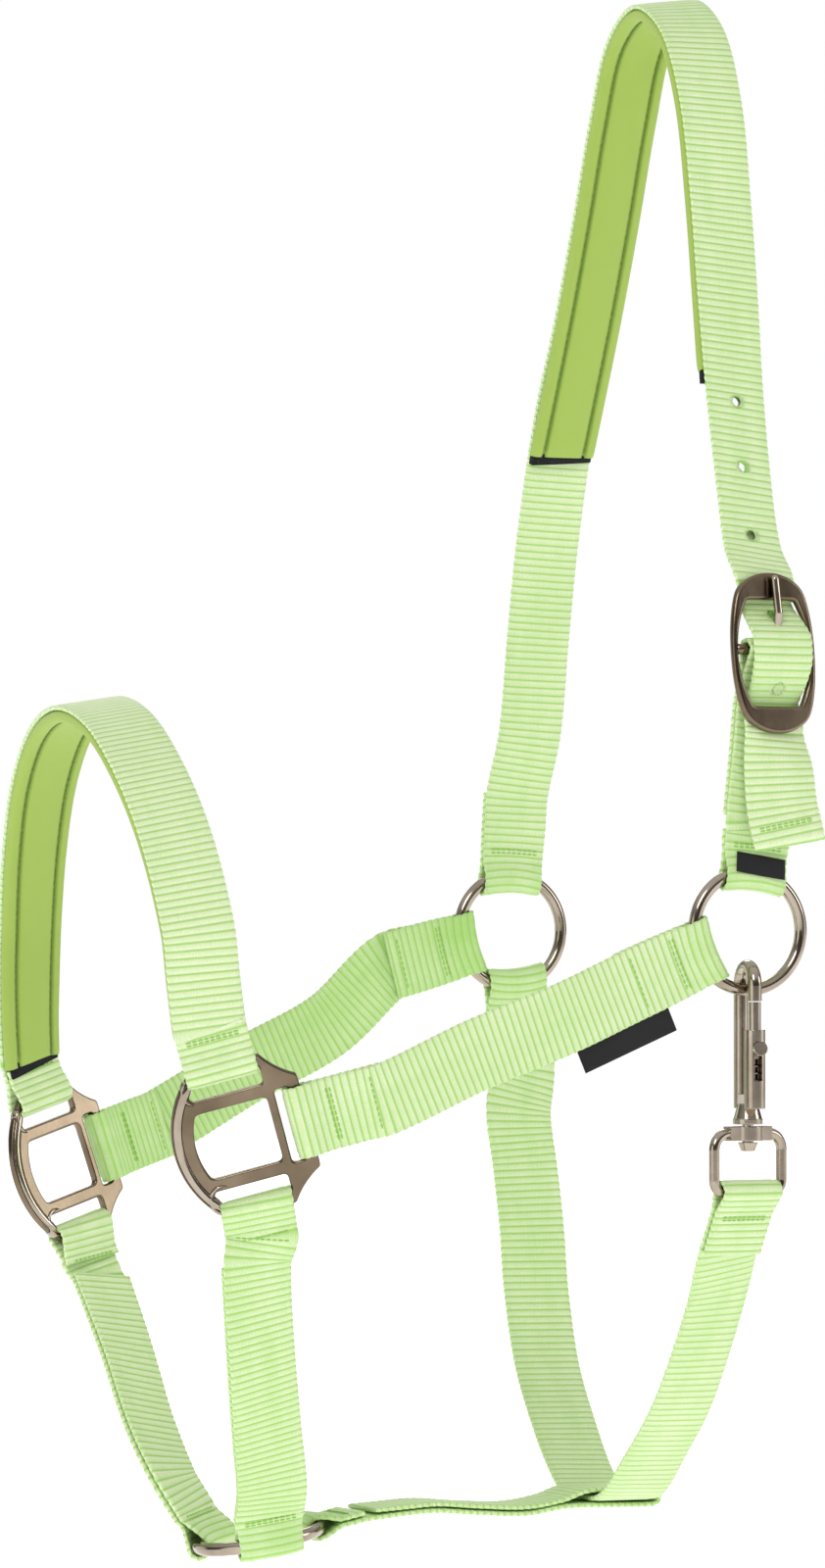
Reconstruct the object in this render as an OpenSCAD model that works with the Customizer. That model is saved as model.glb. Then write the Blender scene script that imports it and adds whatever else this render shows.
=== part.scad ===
// Horse head halter: a network of flat webbing straps on cast and wire hardware.
// Units are millimetres. Origin: the poll rest, the inner top of the crown strap.
// +Z up, -X toward the nose, -Y the horse's near (left) side, +Y its far side.

/* [Webbing] */
// width of every strap
strap_w = 25; // [20:0.5:30]
// thickness of one layer of webbing
strap_t = 2; // [1.5:0.1:2.5]
// clear gap between two layers
layer_gap = 0.3; // [0.2:0.05:0.5]
// length of webbing sewn back at a single strap's loop
sewn_tail = 30; // [20:1:40]
// diameter of a punched hole
punched_hole_d = 4; // [3:0.5:6]

/* [Pads] */
// foam core thickness of both pads
foam_t = 3; // [2:0.5:5]
// lining cloth thickness of both pads
lining_t = 0.9; // [0.6:0.1:1.5]

/* [Rings] */
// mean radius of the two cheek rings
cheek_ring_r = 20.7; // [18:0.1:22]
// wire radius of the two cheek rings
cheek_wire_r = 2.15; // [1.8:0.05:2.5]
// mean radius of the chin ring
chin_ring_r = 21.5; // [19:0.5:25]
// wire radius of the chin ring
chin_wire_r = 2.4; // [2:0.1:3]
// fore and aft tilt of the chin ring, degrees
chin_tilt = 10; // [0:1:20]

/* [Side plates] */
// plate thickness
plate_t = 2.8; // [2.4:0.1:3.2]
// thickness of the heavy front rim
rim_t = 4.2; // [3.4:0.1:5]
// half height of a plate
plate_half_z = 27; // [26:0.5:28]
// toe-in of a plate about the vertical, degrees
plate_yaw = 22; // [15:1:28]
// nose-down pitch of a plate, degrees
plate_pitch = 15; // [8:1:20]
// outward roll of a plate's top, degrees
plate_roll = 9; // [0:1:15]

/* [Buckle] */
// outer width of the oval frame
buckle_w = 36; // [34:0.5:38]
// outer length of the oval frame
buckle_l = 57; // [54:1:60]
// frame thickness
buckle_t = 3; // [2.4:0.1:3.4]
// radius of the tongue wire
tongue_r = 1.5; // [1.2:0.1:1.8]

/* [Snap] */
// half the distance between the snap's spine and its bolt
snap_half = 6.6; // [6:0.1:8]
// radius of the hook wire
hook_r = 2.5; // [2:0.1:2.8]
// outer radius of the barrel
barrel_r = 3.7; // [3.4:0.1:4]
// radius of the sliding bolt
bolt_r = 2.2; // [1.8:0.1:2.4]
// radius of the swivel loop's wire
loop_r = 1.9; // [1.6:0.1:2.2]

/* [Labels] */
// thickness of a woven label
label_t = 0.5; // [0.3:0.1:0.8]

/* [Hidden] */
LIME = [0.72, 0.9, 0.5];
OLIVE = [0.6, 0.76, 0.33];
NICKEL = [0.45, 0.42, 0.38];
BLACK = [0.05, 0.05, 0.05];
steps = 3;             // segments between two route points
half_layer = (strap_t + layer_gap) / 2;
ring_clear = 0.3;      // wire to webbing
nip = 0.85;            // webbing gathers to this share of its width where it folds round a ring
fold_bow = 0.4;        // share of a ring's curve that the fold follows
far_ring_c = [-7.4, 99.6, -323.4];
near_ring_c = [-7.4, -99.6, -323.4];
chin_c = [-150.9, 0, -537.5];
near_plate_c = [-192.8, -79.8, -394.5];
far_plate_c = [-195.7, 78.6, -407.3];
bar_off = 24.9;        // plate centre to the top and bottom bars
rear_off = 23.3;       // plate centre to the rear bar
slot_x = 0.5;          // the top and bottom slots sit this far behind the plate centre
bar_arc = 3.75;        // centre radius of webbing round a plate bar
buckle_c = [1.5, -102.5, -225];
buckle_yaw = 10;       // the frame's rear rail stands inward
buckle_tilt = 6;       // the frame's lower end stands outward
buckle_bar_r = 1.9;
swivel_c = [-7.4, -99.6, 0];
snap_yaw = -5;         // the stored turn of the snap about the swivel
d_yaw = 11;            // the swivel loop follows the throat strap's width
d_bar_z = -414.7;
hook_z = -342.6;       // centre of the hook's arc

// ---- vectors -------------------------------------------------------------
function unit(v) = v / norm(v);
function rx(a, v) = [v[0], v[1] * cos(a) - v[2] * sin(a), v[1] * sin(a) + v[2] * cos(a)];
function ry(a, v) = [v[0] * cos(a) + v[2] * sin(a), v[1], v[2] * cos(a) - v[0] * sin(a)];
function rz(a, v) = [v[0] * cos(a) - v[1] * sin(a), v[0] * sin(a) + v[1] * cos(a), v[2]];
function flip(v, side) = [v[0], side * v[1], v[2]];
function plate_v(v, side) = flip(rz(plate_yaw, ry(-plate_pitch, rx(-plate_roll, v))), side);
function buckle_v(v) = rz(buckle_yaw, rx(-buckle_tilt, v));
function chin_v(v) = ry(-chin_tilt, v);
function rev(v) = [for (i = [len(v) - 1:-1:0]) v[i]];

// ---- routes: each point is [x,y,z, width vector, bow vector] ---------------
function pt(p, w, b = [0, 0, 0]) = concat(p, w, b);
function pos(c) = [c[0], c[1], c[2]];
function wid(c) = [c[3], c[4], c[5]];
function bow(c) = [c[6], c[7], c[8]];
function gap(a, b) = norm(pos(b) - pos(a));
// a smooth curve from b to c whose tangents allow for uneven spacing
function spline(a, b, c, d, t) =
  let (l = gap(b, c), m = (c - a) * l / (gap(a, b) + l), k = (d - b) * l / (l + gap(c, d)), u = 1 - t)
  b * u * u * (1 + 2 * t) + c * t * t * (3 - 2 * t) + m * t * u * u - k * t * t * u;
function before(P, i) = i > 0 ? P[i - 1] : 2 * P[0] - P[1];
function after(P, i) = i < len(P) - 2 ? P[i + 2] : 2 * P[len(P) - 1] - P[len(P) - 2];
function smooth(P) = concat(
  [for (i = [0:len(P) - 2])
    for (j = [0:steps - 1])
      spline(before(P, i), P[i], P[i + 1], after(P, i), j / steps)],
  [P[len(P) - 1]]);
function heading(R, i) = unit(pos(R[min(i + 1, len(R) - 1)]) - pos(R[max(i - 1, 0)]));
function across(R, i) = unit(wid(R[i]) - heading(R, i) * (wid(R[i]) * heading(R, i)));
function face(R, i) = cross(heading(R, i), across(R, i));
// a route moved sideways by h along its own face
function layer(R, h) = [for (i = [0:len(R) - 1]) pt(pos(R[i]) + face(R, i) * h, wid(R[i]), bow(R[i]))];

// webbing round a bar at p, from the cut tail to the main run; d points from the bar along the
// strap, n to the side of the main run, arc is its centre radius; a ring's wire curves away from the
// fold by sag at the strap's edges, b bows the fold's edges and squeeze narrows the fold
function loop(p, d, w, n, arc, tail, sag = 0, b = [0, 0, 0], squeeze = 1, h = half_layer) =
  let (crease = arc + (sag > 0 ? 2.5 : 4))
  [for (q = concat(
    [[tail, -h, 0], [(tail + crease) / 2, -h, 0.1], [crease, -h - 0.1, 0.5], [0.62 * arc, -0.8 * arc, 1]],
    sag > 0 ? [[-0.3 * arc, -arc, 1]] : [],
    [[-sag - 0.3 * arc, -0.95 * arc, 1], [-sag - 0.82 * arc, -0.57 * arc, 1], [-sag - arc, 0, 1],
      [-sag - 0.82 * arc, 0.57 * arc, 1], [-sag - 0.3 * arc, 0.95 * arc, 1]],
    sag > 0 ? [[-0.3 * arc, arc, 1]] : [],
    [[0.62 * arc, 0.8 * arc, 1], [crease, h + 0.1, 0.5], [(tail + crease) / 2, h, 0.1], [tail, h, 0]]
  )) pt(p + d * q[0] + n * q[1], w * (1 - (1 - squeeze) * q[2]), b * q[2])];
// webbing round a cheek or chin ring, whose wire centre is at p
function ring_loop(p, d, w, n, r, wire, tail) =
  let (sag = r - wire - sqrt(pow(r - wire, 2) - pow(nip * strap_w / 2, 2)))
  loop(p, d, w, n, wire + ring_clear + strap_t / 2, tail,
    sag * (1 - fold_bow) + 0.25, -d * sag * fold_bow, nip);

// ---- swept webbing: four points across each face so loops can bow -----------
lanes = [-1, -0.4, 0.4, 1];
function rib(R, i, w, t) =
  let (a = across(R, i) * norm(wid(R[i])) * w / 2, f = face(R, i) * t / 2, c = pos(R[i]), b = bow(R[i]))
  concat([for (s = lanes) c + a * s + f + b * s * s], [for (s = rev(lanes)) c + a * s - f + b * s * s]);
module ribbon(R, w = strap_w, t = strap_t) {
  n = 2 * len(lanes);
  m = len(R);
  k = len(lanes);
  points = [for (i = [0:m - 1]) each rib(R, i, w, t)];
  sides = [for (i = [0:m - 2]) for (j = [0:n - 1]) each [
    [i * n + j, i * n + (j + 1) % n, (i + 1) * n + j],
    [i * n + (j + 1) % n, (i + 1) * n + (j + 1) % n, (i + 1) * n + j]]];
  caps = [for (j = [0:k - 2]) each [
    [j, n - 1 - j, j + 1], [j + 1, n - 1 - j, n - 2 - j],
    [(m - 1) * n + j, (m - 1) * n + j + 1, (m - 1) * n + n - 1 - j],
    [(m - 1) * n + j + 1, (m - 1) * n + n - 2 - j, (m - 1) * n + n - 1 - j]]];
  polyhedron(points, concat(sides, caps), convexity = 12);
}

// ---- routes ----------------------------------------------------------------
X = [1, 0, 0];
Y = [0, 1, 0];
Z = [0, 0, 1];

crown_d = unit([0.05, -0.06, 1]);
crown_start = ring_loop(far_ring_c + Z * cheek_ring_r, crown_d, X, unit(cross(crown_d, -X)),
  cheek_ring_r, cheek_wire_r, sewn_tail);
crown_mid = [
  pt([-3.3, 91, -250], X), pt([-1.8, 87, -215], X), pt([0, 82.5, -179], X), pt([2.3, 72, -134], X),
  pt([4, 58, -99], X), pt([6, 46, -62], X), pt([7, 34, -27], X), pt([7.5, 21, 0], [1, 0, 0.06]),
  pt([7.5, -1, 12], [0.99, 0, 0.12]), pt([7.5, -25, 0], [1, 0, 0.06]), pt([7, -41, -27], [1, 0.05, 0]),
  pt([6, -51, -62], [0.99, 0.1, 0]), pt([4, -61, -99], [0.99, 0.12, 0]), pt([2.3, -70, -134], [0.98, 0.2, 0]),
  pt([1, -80.5, -169], [0.97, 0.25, 0]), pt([0.8, -87, -188], [0.98, 0.22, 0])
];
over_bar = buckle_bar_r + ring_clear + strap_t + layer_gap + strap_t / 2;
under_frame = -buckle_t / 2 - layer_gap - strap_t / 2;
crown_end = [
  // depth, height and share of the width: the webbing cups as it passes through the oval opening
  for (q = [[-under_frame + 0.3, 25.5, 1], [-under_frame + 0.2, 16.8, 0.8], [1.9, 14, 0.86], [-2, 9, 0.96],
    [-over_bar + 0.4, 4.5, 1], [-over_bar, 0, 1], [-over_bar + 0.4, -4.5, 1], [-2.2, -10.8, 0.94],
    [1.9, -16.7, 0.84], [-under_frame + 0.1, -19.5, 0.8], [-under_frame, -24, 1], [-under_frame, -30, 1]])
    pt(buckle_c + buckle_v([0, q[0], q[1]]), buckle_v(X) * q[2])];
crown_route = smooth(concat(crown_start, crown_mid, crown_end));
tail_top = buckle_c + buckle_v([0, -under_frame, -31.2]);
tail_route = smooth([
  pt(tail_top, buckle_v(X)), pt(tail_top + [-0.1, -1.1, -5], buckle_v(X)),
  pt([1.2, -106.4, -266], [0.98, -0.15, 0.05]), pt([1.4, -109, -280], [0.93, -0.32, 0.12]),
  pt([2.6, -112, -291.5], [0.89, -0.41, 0.17])]);

nose_off = [slot_x, 0, bar_off];
function plate_c(side) = side < 0 ? near_plate_c : far_plate_c;
function plate_loop(side, p, d, w, out, tail) =
  loop(plate_c(side) + plate_v(p, side), plate_v(d, side), plate_v(w, side), plate_v([0, out, 0], side),
    bar_arc, tail);
nose_tail = 13;
nose_far_foot = pt([-207.3, 81.7, -369.7], [0.9, 0.36, 0.26]);
nose_near_foot = pt([-204.5, -82.9, -356.9], [0.9, -0.36, 0.26]);
nose_far_rise = pt([-208, 81.4, -352], [0.92, 0.32, 0.23]);
nose_near_rise = pt([-206.2, -82, -341], [0.92, -0.32, 0.23]);
nose_mid = [
  pt([-207.7, 80.4, -322], [0.95, 0.25, 0.18]),
  pt([-210.5, 68, -292], [0.97, 0.17, 0.17]), pt([-213.4, 50.5, -268], [0.98, 0.1, 0.15]),
  pt([-215.5, 27, -250], [0.985, 0.05, 0.15]), pt([-216.5, 0, -243.5], [0.985, 0, 0.15])
];
function mirror_y(P) = [for (c = P) concat(flip(pos(c), -1), flip(wid(c), -1), flip(bow(c), -1))];
nose_route = smooth(concat(
  plate_loop(1, nose_off, Z, X, 1, nose_tail), [nose_far_foot, nose_far_rise], nose_mid,
  [for (i = [len(nose_mid) - 2:-1:0]) mirror_y(nose_mid)[i]], [nose_near_rise, nose_near_foot],
  rev(plate_loop(-1, nose_off, Z, X, 1, nose_tail))));

function ring_c(side) = side < 0 ? near_ring_c : far_ring_c;
// a is the strap's rise where it meets its ring
function cheek_route(side, mid, a) =
  let (d = [-cos(a), 0, -sin(a)])
  smooth(concat(
    plate_loop(side, [rear_off, 0, 0], X, Z, 1, sewn_tail), mid,
    rev(ring_loop(ring_c(side) + d * cheek_ring_r, d, [d[2], 0, -d[0]], [0, side, 0],
      cheek_ring_r, cheek_wire_r, sewn_tail))));
near_cheek_a = 22.9;
far_cheek_a = 15;
near_cheek_mid = [pt([-112, -101.5, -366], [-0.36, 0, 0.93]), pt([-80, -102.5, -354], [-0.38, 0, 0.92])];
far_cheek_mid = [pt([-112, 101.5, -374], [-0.36, 0, 0.93]), pt([-80, 102.5, -358], [-0.38, 0, 0.92])];

function chin_point(a) = chin_c + chin_v([chin_ring_r * cos(a), chin_ring_r * sin(a), 0]);
function chin_tangent(a) = chin_v([-sin(a), cos(a), 0]);
function chin_inward(a) = chin_v([-cos(a), -sin(a), 0]);
function square_to(v, w) = unit(v - w * (v * w));
chin_half = nip * strap_w / 2;
chin_bow = chin_ring_r - sqrt(chin_ring_r * chin_ring_r - chin_half * chin_half);
chin_arc = chin_wire_r + ring_clear + strap_t / 2 + 0.6;
module chin_strap(side, mid, a, w_end, lean) {
  fall = flip(unit([0.25, -0.22, -0.93]), side);
  top = plate_c(side) + plate_v([slot_x, 0, -bar_off], side);
  d = square_to(lean, w_end);
  out = unit(cross(d, w_end)) * (cross(d, w_end) * chin_inward(a) < 0 ? 1 : -1);
  ribbon(smooth(concat(
    loop(top, fall, plate_v(X, side), plate_v(Y, side), bar_arc, 11.5),
    layer(mid, -side * half_layer),
    rev(loop(chin_point(a), d, w_end, out, chin_arc, 11.5, 0, chin_inward(a) * chin_bow, nip)),
    rev(layer(mid, side * half_layer)))));
}
near_chin_mid = [
  pt([-182.9, -73, -438], [0.97, -0.08, 0.15]), pt([-175.6, -60, -472], [0.99, 0.05, 0.1]),
  pt([-167.5, -46, -498], [0.99, 0, 0.05]), pt([-160.5, -34, -518], [0.98, -0.1, 0])
];
far_chin_mid = [
  pt([-182.5, 72, -448], [0.9, 0.38, 0.1]), pt([-180, 54.5, -472], [0.86, 0.48, 0.1]),
  pt([-178, 37, -498], [0.83, 0.54, 0.1]), pt([-174.5, 24.5, -516], [0.79, 0.6, 0.12])
];

throat_gap = strap_t + layer_gap;
throat_z = -526.5;
throat_mid = [
  pt([-8, 91, -391], [0.99, -0.1, 0]), pt([-8, 85, -411], [0.99, -0.12, 0]),
  pt([-8, 79.3, -433], [0.99, -0.12, 0]), pt([-8.5, 74.5, -455], [0.99, -0.12, 0]),
  pt([-10, 62, -482], [0.99, -0.1, 0]),
  pt([-12, 43, -503], [0.99, -0.08, 0]), pt([-13.5, 25, -519], X), pt([-14, 12, throat_z], X),
  pt([-14, 0, throat_z], X), pt([-14, -13, throat_z], X), pt([-13.5, -22, -522.5], X),
  pt([-12.8, -35, -511], [0.99, 0.05, 0]),
  pt([-11, -51.5, -494], [0.99, 0.1, 0]), pt([-9.5, -63.5, -476], [0.98, 0.15, 0]),
  pt([-8.2, -76.5, -453], [0.98, 0.19, 0])
];
throat_turn = -6;      // the throat's loop sits a little behind the ring's lowest point
throat_d = unit([0.06, -0.06, -1]);
throat_w = ry(throat_turn, X);
d_bar = [swivel_c[0], swivel_c[1], d_bar_z];
d_w = [cos(d_yaw), sin(d_yaw), 0];
d_d = square_to([0, 0.5, -1], d_w);
throat_route = smooth(concat(
  ring_loop(far_ring_c + ry(throat_turn, -Z) * cheek_ring_r, throat_d, throat_w,
    unit(cross(throat_d, throat_w)), cheek_ring_r, cheek_wire_r, sewn_tail),
  throat_mid,
  rev(loop(d_bar, d_d, d_w, unit(cross(d_w, d_d)), loop_r + ring_clear + strap_t / 2 + 0.15, 24))));

jaw_tip_x = 0.4;
jaw_mid = [
  pt([-101, 0, -529], Y), pt([-87, 0, -528.2], Y), pt([-71, 0, -529.4], Y), pt([-52, 0, -530.2], Y),
  pt([-38, 0, -528.2], Y)
];
jaw_d = unit([1, 0, 0.22]);
jaw_route = smooth(concat(
  ring_loop(chin_point(0), jaw_d, Y, unit(cross(Y, jaw_d)), chin_ring_r, chin_wire_r, 15),
  layer(jaw_mid, -half_layer),
  [for (q = [[-28, 1.1], [-14, 1.2], [-2.2, 1.2], [-0.3, 0.8], [jaw_tip_x, 0], [-0.3, -0.8], [-2.2, -1.2],
    [-14, -1.25], [-28, -1.1]])
    pt([q[0], 0, throat_z - q[1] * throat_gap], Y)],
  rev(layer(jaw_mid, half_layer)),
  [pt(chin_point(0) + jaw_d * 19 + [0, 0, half_layer], Y)]));

billet_d = unit([0.1, 0, 1]);
billet_w = [0.995, 0, -0.1];
billet_mid = [
  pt([-4.2, -99.7, -284], [1, 0.06, 0]), pt([-1.7, -98.6, -262], [0.99, 0.13, 0]),
  pt([0.4, -97.4, -243], [0.985, 0.18, 0])];
billet_top = unit([0, 0.38, -1]);
billet_route = smooth(concat(
  ring_loop(near_ring_c + billet_d * cheek_ring_r, billet_d, billet_w, -Y, cheek_ring_r, cheek_wire_r, 14),
  layer(billet_mid, -half_layer),
  rev(loop(buckle_c, buckle_v(billet_top), buckle_v(X), buckle_v(cross(billet_top, X)),
    buckle_bar_r + ring_clear + strap_t / 2, 12)),
  rev(layer(billet_mid, half_layer))));

// ---- soft nodes --------------------------------------------------------------
knee = [0, -4, 12.5];  // where the tongue bends over the frame
tip = [0, -buckle_t / 2 - tongue_r - 0.15, 24.5];
tongue_swing = 9;
module tongue_way(clear) {
  for (a = [0, tongue_swing])
    rotate([a, 0, 0])
      for (q = [[[0, 0, 3], knee], [knee, tip]])
        hull()
          for (c = q)
            translate(c)
              sphere(r = tongue_r + clear, $fn = 16);
}
module crown_strap() {
  color(LIME)
    difference() {
      ribbon(crown_route);
      for (p = [[2.1, -71, -136], [1.2, -78, -159.5], [0.6, -86.6, -184]])
        translate(p)
          rotate([90, 0, 0])
            cylinder(r = punched_hole_d / 2, h = 16, center = true, $fn = 24);
      translate(buckle_c)
        rotate([-buckle_tilt, 0, buckle_yaw]) {
          tongue_way(0.5);
          translate([0, -0.4, -13.5])
            rotate([125, 0, 0])
              cylinder(r = punched_hole_d / 2, h = 7, center = true, $fn = 24);
        }
    }
}
module crown_tail() {
  color(LIME)
    ribbon(tail_route);
}
pad_shift = strap_t / 2 + layer_gap + foam_t / 2;
lining_shift = strap_t / 2 + 2 * layer_gap + foam_t + lining_t / 2;
crown_pad_route = smooth(concat(
  [pt([1.4, 76, -147], X)], [for (i = [4:12]) crown_mid[i]], [pt([2.6, -67.6, -126], [0.98, 0.18, 0])]));
// the nose pad lies along the noseband between its two feet
nose_pad_route = [for (i = [13 * steps:len(nose_route) - 1 - 13 * steps]) nose_route[i]];
module crown_pad_foam() {
  color(BLACK)
    ribbon(layer(crown_pad_route, -pad_shift), strap_w - 1, foam_t);
}
module crown_pad_lining() {
  color(OLIVE)
    ribbon(layer(crown_pad_route, -lining_shift), strap_w, lining_t);
}
module nose_pad_foam() {
  color(BLACK)
    ribbon(layer(nose_pad_route, -pad_shift), strap_w - 1, foam_t);
}
module nose_pad_lining() {
  color(OLIVE)
    ribbon(layer(nose_pad_route, -lining_shift), strap_w, lining_t);
}
module billet_strap() {
  color(LIME)
    difference() {
      ribbon(billet_route);
      translate(buckle_c)
        rotate([-buckle_tilt, 0, buckle_yaw])
          translate([-3.2, -9, -4])
            cube([6.4, 18, 14]);
    }
}
module size_label() {
  color(BLACK)
    translate([-4.3, -103.6, -300.6])
      rotate([-16, 10, 0])
        cube([18.5, label_t, 7.4], center = true);
}
module near_cheek_strap() {
  color(LIME)
    ribbon(cheek_route(-1, near_cheek_mid, near_cheek_a));
}
module far_cheek_strap() {
  color(LIME)
    ribbon(cheek_route(1, far_cheek_mid, far_cheek_a));
}
module maker_label() {
  color(BLACK)
    translate([-54, -99.9, -362.4])
      rotate([0, -near_cheek_a, 0])
        cube([38, label_t, 6.6], center = true);
}
module noseband_strap() {
  color(LIME)
    ribbon(nose_route);
}
module near_chin_strap() {
  color(LIME)
    chin_strap(-1, near_chin_mid, -101.6, chin_tangent(-101.6), [-0.13, -0.4, 0.92]);
}
module far_chin_strap() {
  color(LIME)
    chin_strap(1, far_chin_mid, 128, -chin_tangent(128), [-0.1, 0.4, 0.92]);
}
module jaw_strap() {
  color(LIME)
    ribbon(jaw_route);
}
module throat_strap() {
  color(LIME)
    ribbon(throat_route);
}

// ---- hardware ------------------------------------------------------------------
module torus(r, wire) {
  rotate_extrude($fn = 96)
    translate([r, 0])
      circle(r = wire, $fn = 32);
}
module near_ring() {
  color(NICKEL)
    translate(near_ring_c)
      rotate([90, 0, 0])
        torus(cheek_ring_r, cheek_wire_r);
}
module far_ring() {
  color(NICKEL)
    translate(far_ring_c)
      rotate([90, 0, 0])
        torus(cheek_ring_r, cheek_wire_r);
}
module chin_ring() {
  color(NICKEL)
    translate(chin_c)
      rotate([0, -chin_tilt, 0])
        torus(chin_ring_r, chin_wire_r);
}
front_r = 34.3;        // the plate's convex front edge
front_x = 11.8;
window_r = 26.4;       // the window's front side follows the front edge
ear_r = 29;            // the concave rear corners
ear_at = [38.5, 42.5];
rear_x = 25.3;
module soft_square(size, r) {
  translate([-size[0] / 2, -size[1] / 2]) {
    translate([r, 0])
      square([size[0] - 2 * r, size[1]]);
    translate([0, r])
      square([size[0], size[1] - 2 * r]);
    for (x = [r, size[0] - r])
      for (y = [r, size[1] - r])
        translate([x, y])
          circle(r = r, $fn = 24);
  }
}
module plate_outline() {
  difference() {
    intersection() {
      translate([front_x, 0])
        circle(r = front_r, $fn = 96);
      translate([-front_r, -plate_half_z])
        square([front_r + rear_x, 2 * plate_half_z]);
    }
    for (s = [-1, 1])
      translate([ear_at[0], s * ear_at[1]])
        circle(r = ear_r, $fn = 72);
  }
}
module plate_cuts() {
  intersection() {
    translate([front_x, 0])
      circle(r = window_r, $fn = 96);
    translate([-2.7, 0])
      soft_square([32, 23], 1.2);
  }
  for (s = [-1, 1])
    translate([slot_x, s * 19.5])
      soft_square([26, 6.6], 1);
  translate([18.7, 0])
    soft_square([5, 26], 1);
}
module side_plate() {
  rotate([90, 0, 0]) {
    translate([0, 0, -plate_t / 2])
      linear_extrude(plate_t)
        difference() {
          plate_outline();
          plate_cuts();
        }
    translate([0, 0, -rim_t / 2])
      linear_extrude(rim_t)
        difference() {
          intersection() {
            plate_outline();
            translate([-front_r, -20])
              square([front_r - 14, 40]);
          }
          translate([front_x, 0])
            circle(r = window_r + 2, $fn = 96);
          translate([slot_x, 0])
            square([28, 60], center = true);
        }
  }
}
module placed_plate(side) {
  translate(plate_c(side))
    mirror([0, side < 0 ? 1 : 0, 0])
      rotate([0, 0, plate_yaw])
        rotate([0, -plate_pitch, 0])
          rotate([-plate_roll, 0, 0])
            side_plate();
}
module near_side_plate() {
  color(NICKEL)
    placed_plate(-1);
}
module far_side_plate() {
  color(NICKEL)
    placed_plate(1);
}
side_bulge = 60;       // how far beyond the middle the arcs of the frame's long sides are centred
module oval(w, l) {
  intersection() {
    translate([-side_bulge, 0])
      circle(r = side_bulge + w / 2, $fn = 180);
    translate([side_bulge, 0])
      circle(r = side_bulge + w / 2, $fn = 180);
    union() {
      for (s = [-1, 1])
        translate([0, s * (l / 2 - 20)])
          circle(r = 20, $fn = 96);
      square([40, l - 40], center = true);
    }
  }
}
module frame_opening() {
  intersection() {
    translate([-21.5, 0])
      circle(r = 37, $fn = 128);
    translate([21.5, 0])
      circle(r = 37, $fn = 128);
    soft_square([40, 37.5], 1);
  }
}
frame_shift = [-0.6, -1.2]; // the oval's middle from the bar
module buckle_frame() {
  color(NICKEL)
    translate(buckle_c)
      rotate([-buckle_tilt, 0, buckle_yaw]) {
        rotate([90, 0, 0])
          translate([frame_shift[0], frame_shift[1], -buckle_t / 2])
            linear_extrude(buckle_t)
              difference() {
                oval(buckle_w, buckle_l);
                frame_opening();
              }
        translate([frame_shift[0], 0, 0])
          rotate([0, 90, 0])
            cylinder(r = buckle_bar_r, h = buckle_w - 3.4, center = true, $fn = 32);
      }
}
eye_r = buckle_bar_r + 0.15;
module wire(a, b, r) {
  translate(a)
    rotate([atan2(a[1] - b[1], b[2] - a[2]), 0, 0])
      cylinder(r = r, h = norm(b - a), $fn = 24);
}
module buckle_tongue() {
  color(NICKEL)
    translate(buckle_c)
      rotate([-buckle_tilt, 0, buckle_yaw]) {
        difference() {
          rotate([0, 90, 0])
            cylinder(r = eye_r + 1.6, h = 4.6, center = true, $fn = 32);
          rotate([0, 90, 0])
            cylinder(r = eye_r, h = 6, center = true, $fn = 32);
        }
        wire([0, -1, eye_r + 0.9], knee, tongue_r);
        wire(knee, tip, tongue_r);
        for (c = [knee, tip])
          translate(c)
            sphere(r = tongue_r, $fn = 24);
      }
}

// ---- bolt snap: drawn about the swivel axis, bolt toward -Y ---------------------
tip_z = -348;
mouth_z = -358;
knob_z = -364.5;
bolt_end_z = -368;
floor_z = -381.5;
base_z = -391;
eye_top = -391.8;
eye_h = 5;
pin_r = 2;
travel = 9.5;
module snap_place() {
  translate(swivel_c)
    rotate([0, 0, snap_yaw])
      children();
}
module snap_body() {
  color(NICKEL)
    snap_place() {
      translate([0, 0, hook_z])
        rotate([0, 0, 90])
          rotate([90, 0, 0])
            rotate_extrude(angle = 180, $fn = 64)
              translate([snap_half, 0])
                circle(r = hook_r, $fn = 32);
      translate([0, -snap_half, tip_z])
        cylinder(r = hook_r, h = hook_z - tip_z, $fn = 32);
      translate([0, snap_half, floor_z - 4])
        cylinder(r = hook_r, h = hook_z - floor_z + 4, $fn = 32);
      difference() {
        translate([0, -snap_half, floor_z - 4])
          cylinder(r = barrel_r, h = mouth_z - floor_z + 4, $fn = 48);
        translate([0, -snap_half, floor_z])
          cylinder(r = bolt_r + 0.25, h = mouth_z - floor_z + 1, $fn = 32);
        translate([-1.5, -snap_half - barrel_r - 1, knob_z - travel - 1.8])
          cube([3, barrel_r + 1, travel + 3.6]);
      }
      translate([-2, -snap_half + bolt_r + 0.6, floor_z - 4])
        cube([4, 2 * snap_half - bolt_r - 0.6, 5]);
      translate([0, 0, base_z + 1.8])
        cylinder(r1 = 5, r2 = 3.6, h = 5.2, $fn = 48);
      translate([0, 0, base_z])
        cylinder(r = 5.2, h = 1.8, $fn = 48);
      translate([0, 0, eye_top - eye_h - 0.8])
        cylinder(r = pin_r, h = eye_h + 2, $fn = 32);
      translate([0, 0, eye_top - eye_h - 3.6])
        cylinder(r1 = 2.4, r2 = 3.6, h = 3, $fn = 48);
    }
}
module snap_bolt() {
  color(NICKEL)
    snap_place()
      translate([0, -snap_half, 0]) {
        translate([0, 0, bolt_end_z])
          cylinder(r = bolt_r, h = tip_z - bolt_end_z - 0.3, $fn = 32);
        translate([0, 0, knob_z])
          rotate([90, 0, 0])
            cylinder(r = 1.3, h = barrel_r + 1.4, $fn = 24);
        translate([0, -barrel_r - 0.5, knob_z])
          rotate([90, 0, 0])
            cylinder(r = 2.5, h = 2, $fn = 32);
      }
}
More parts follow.
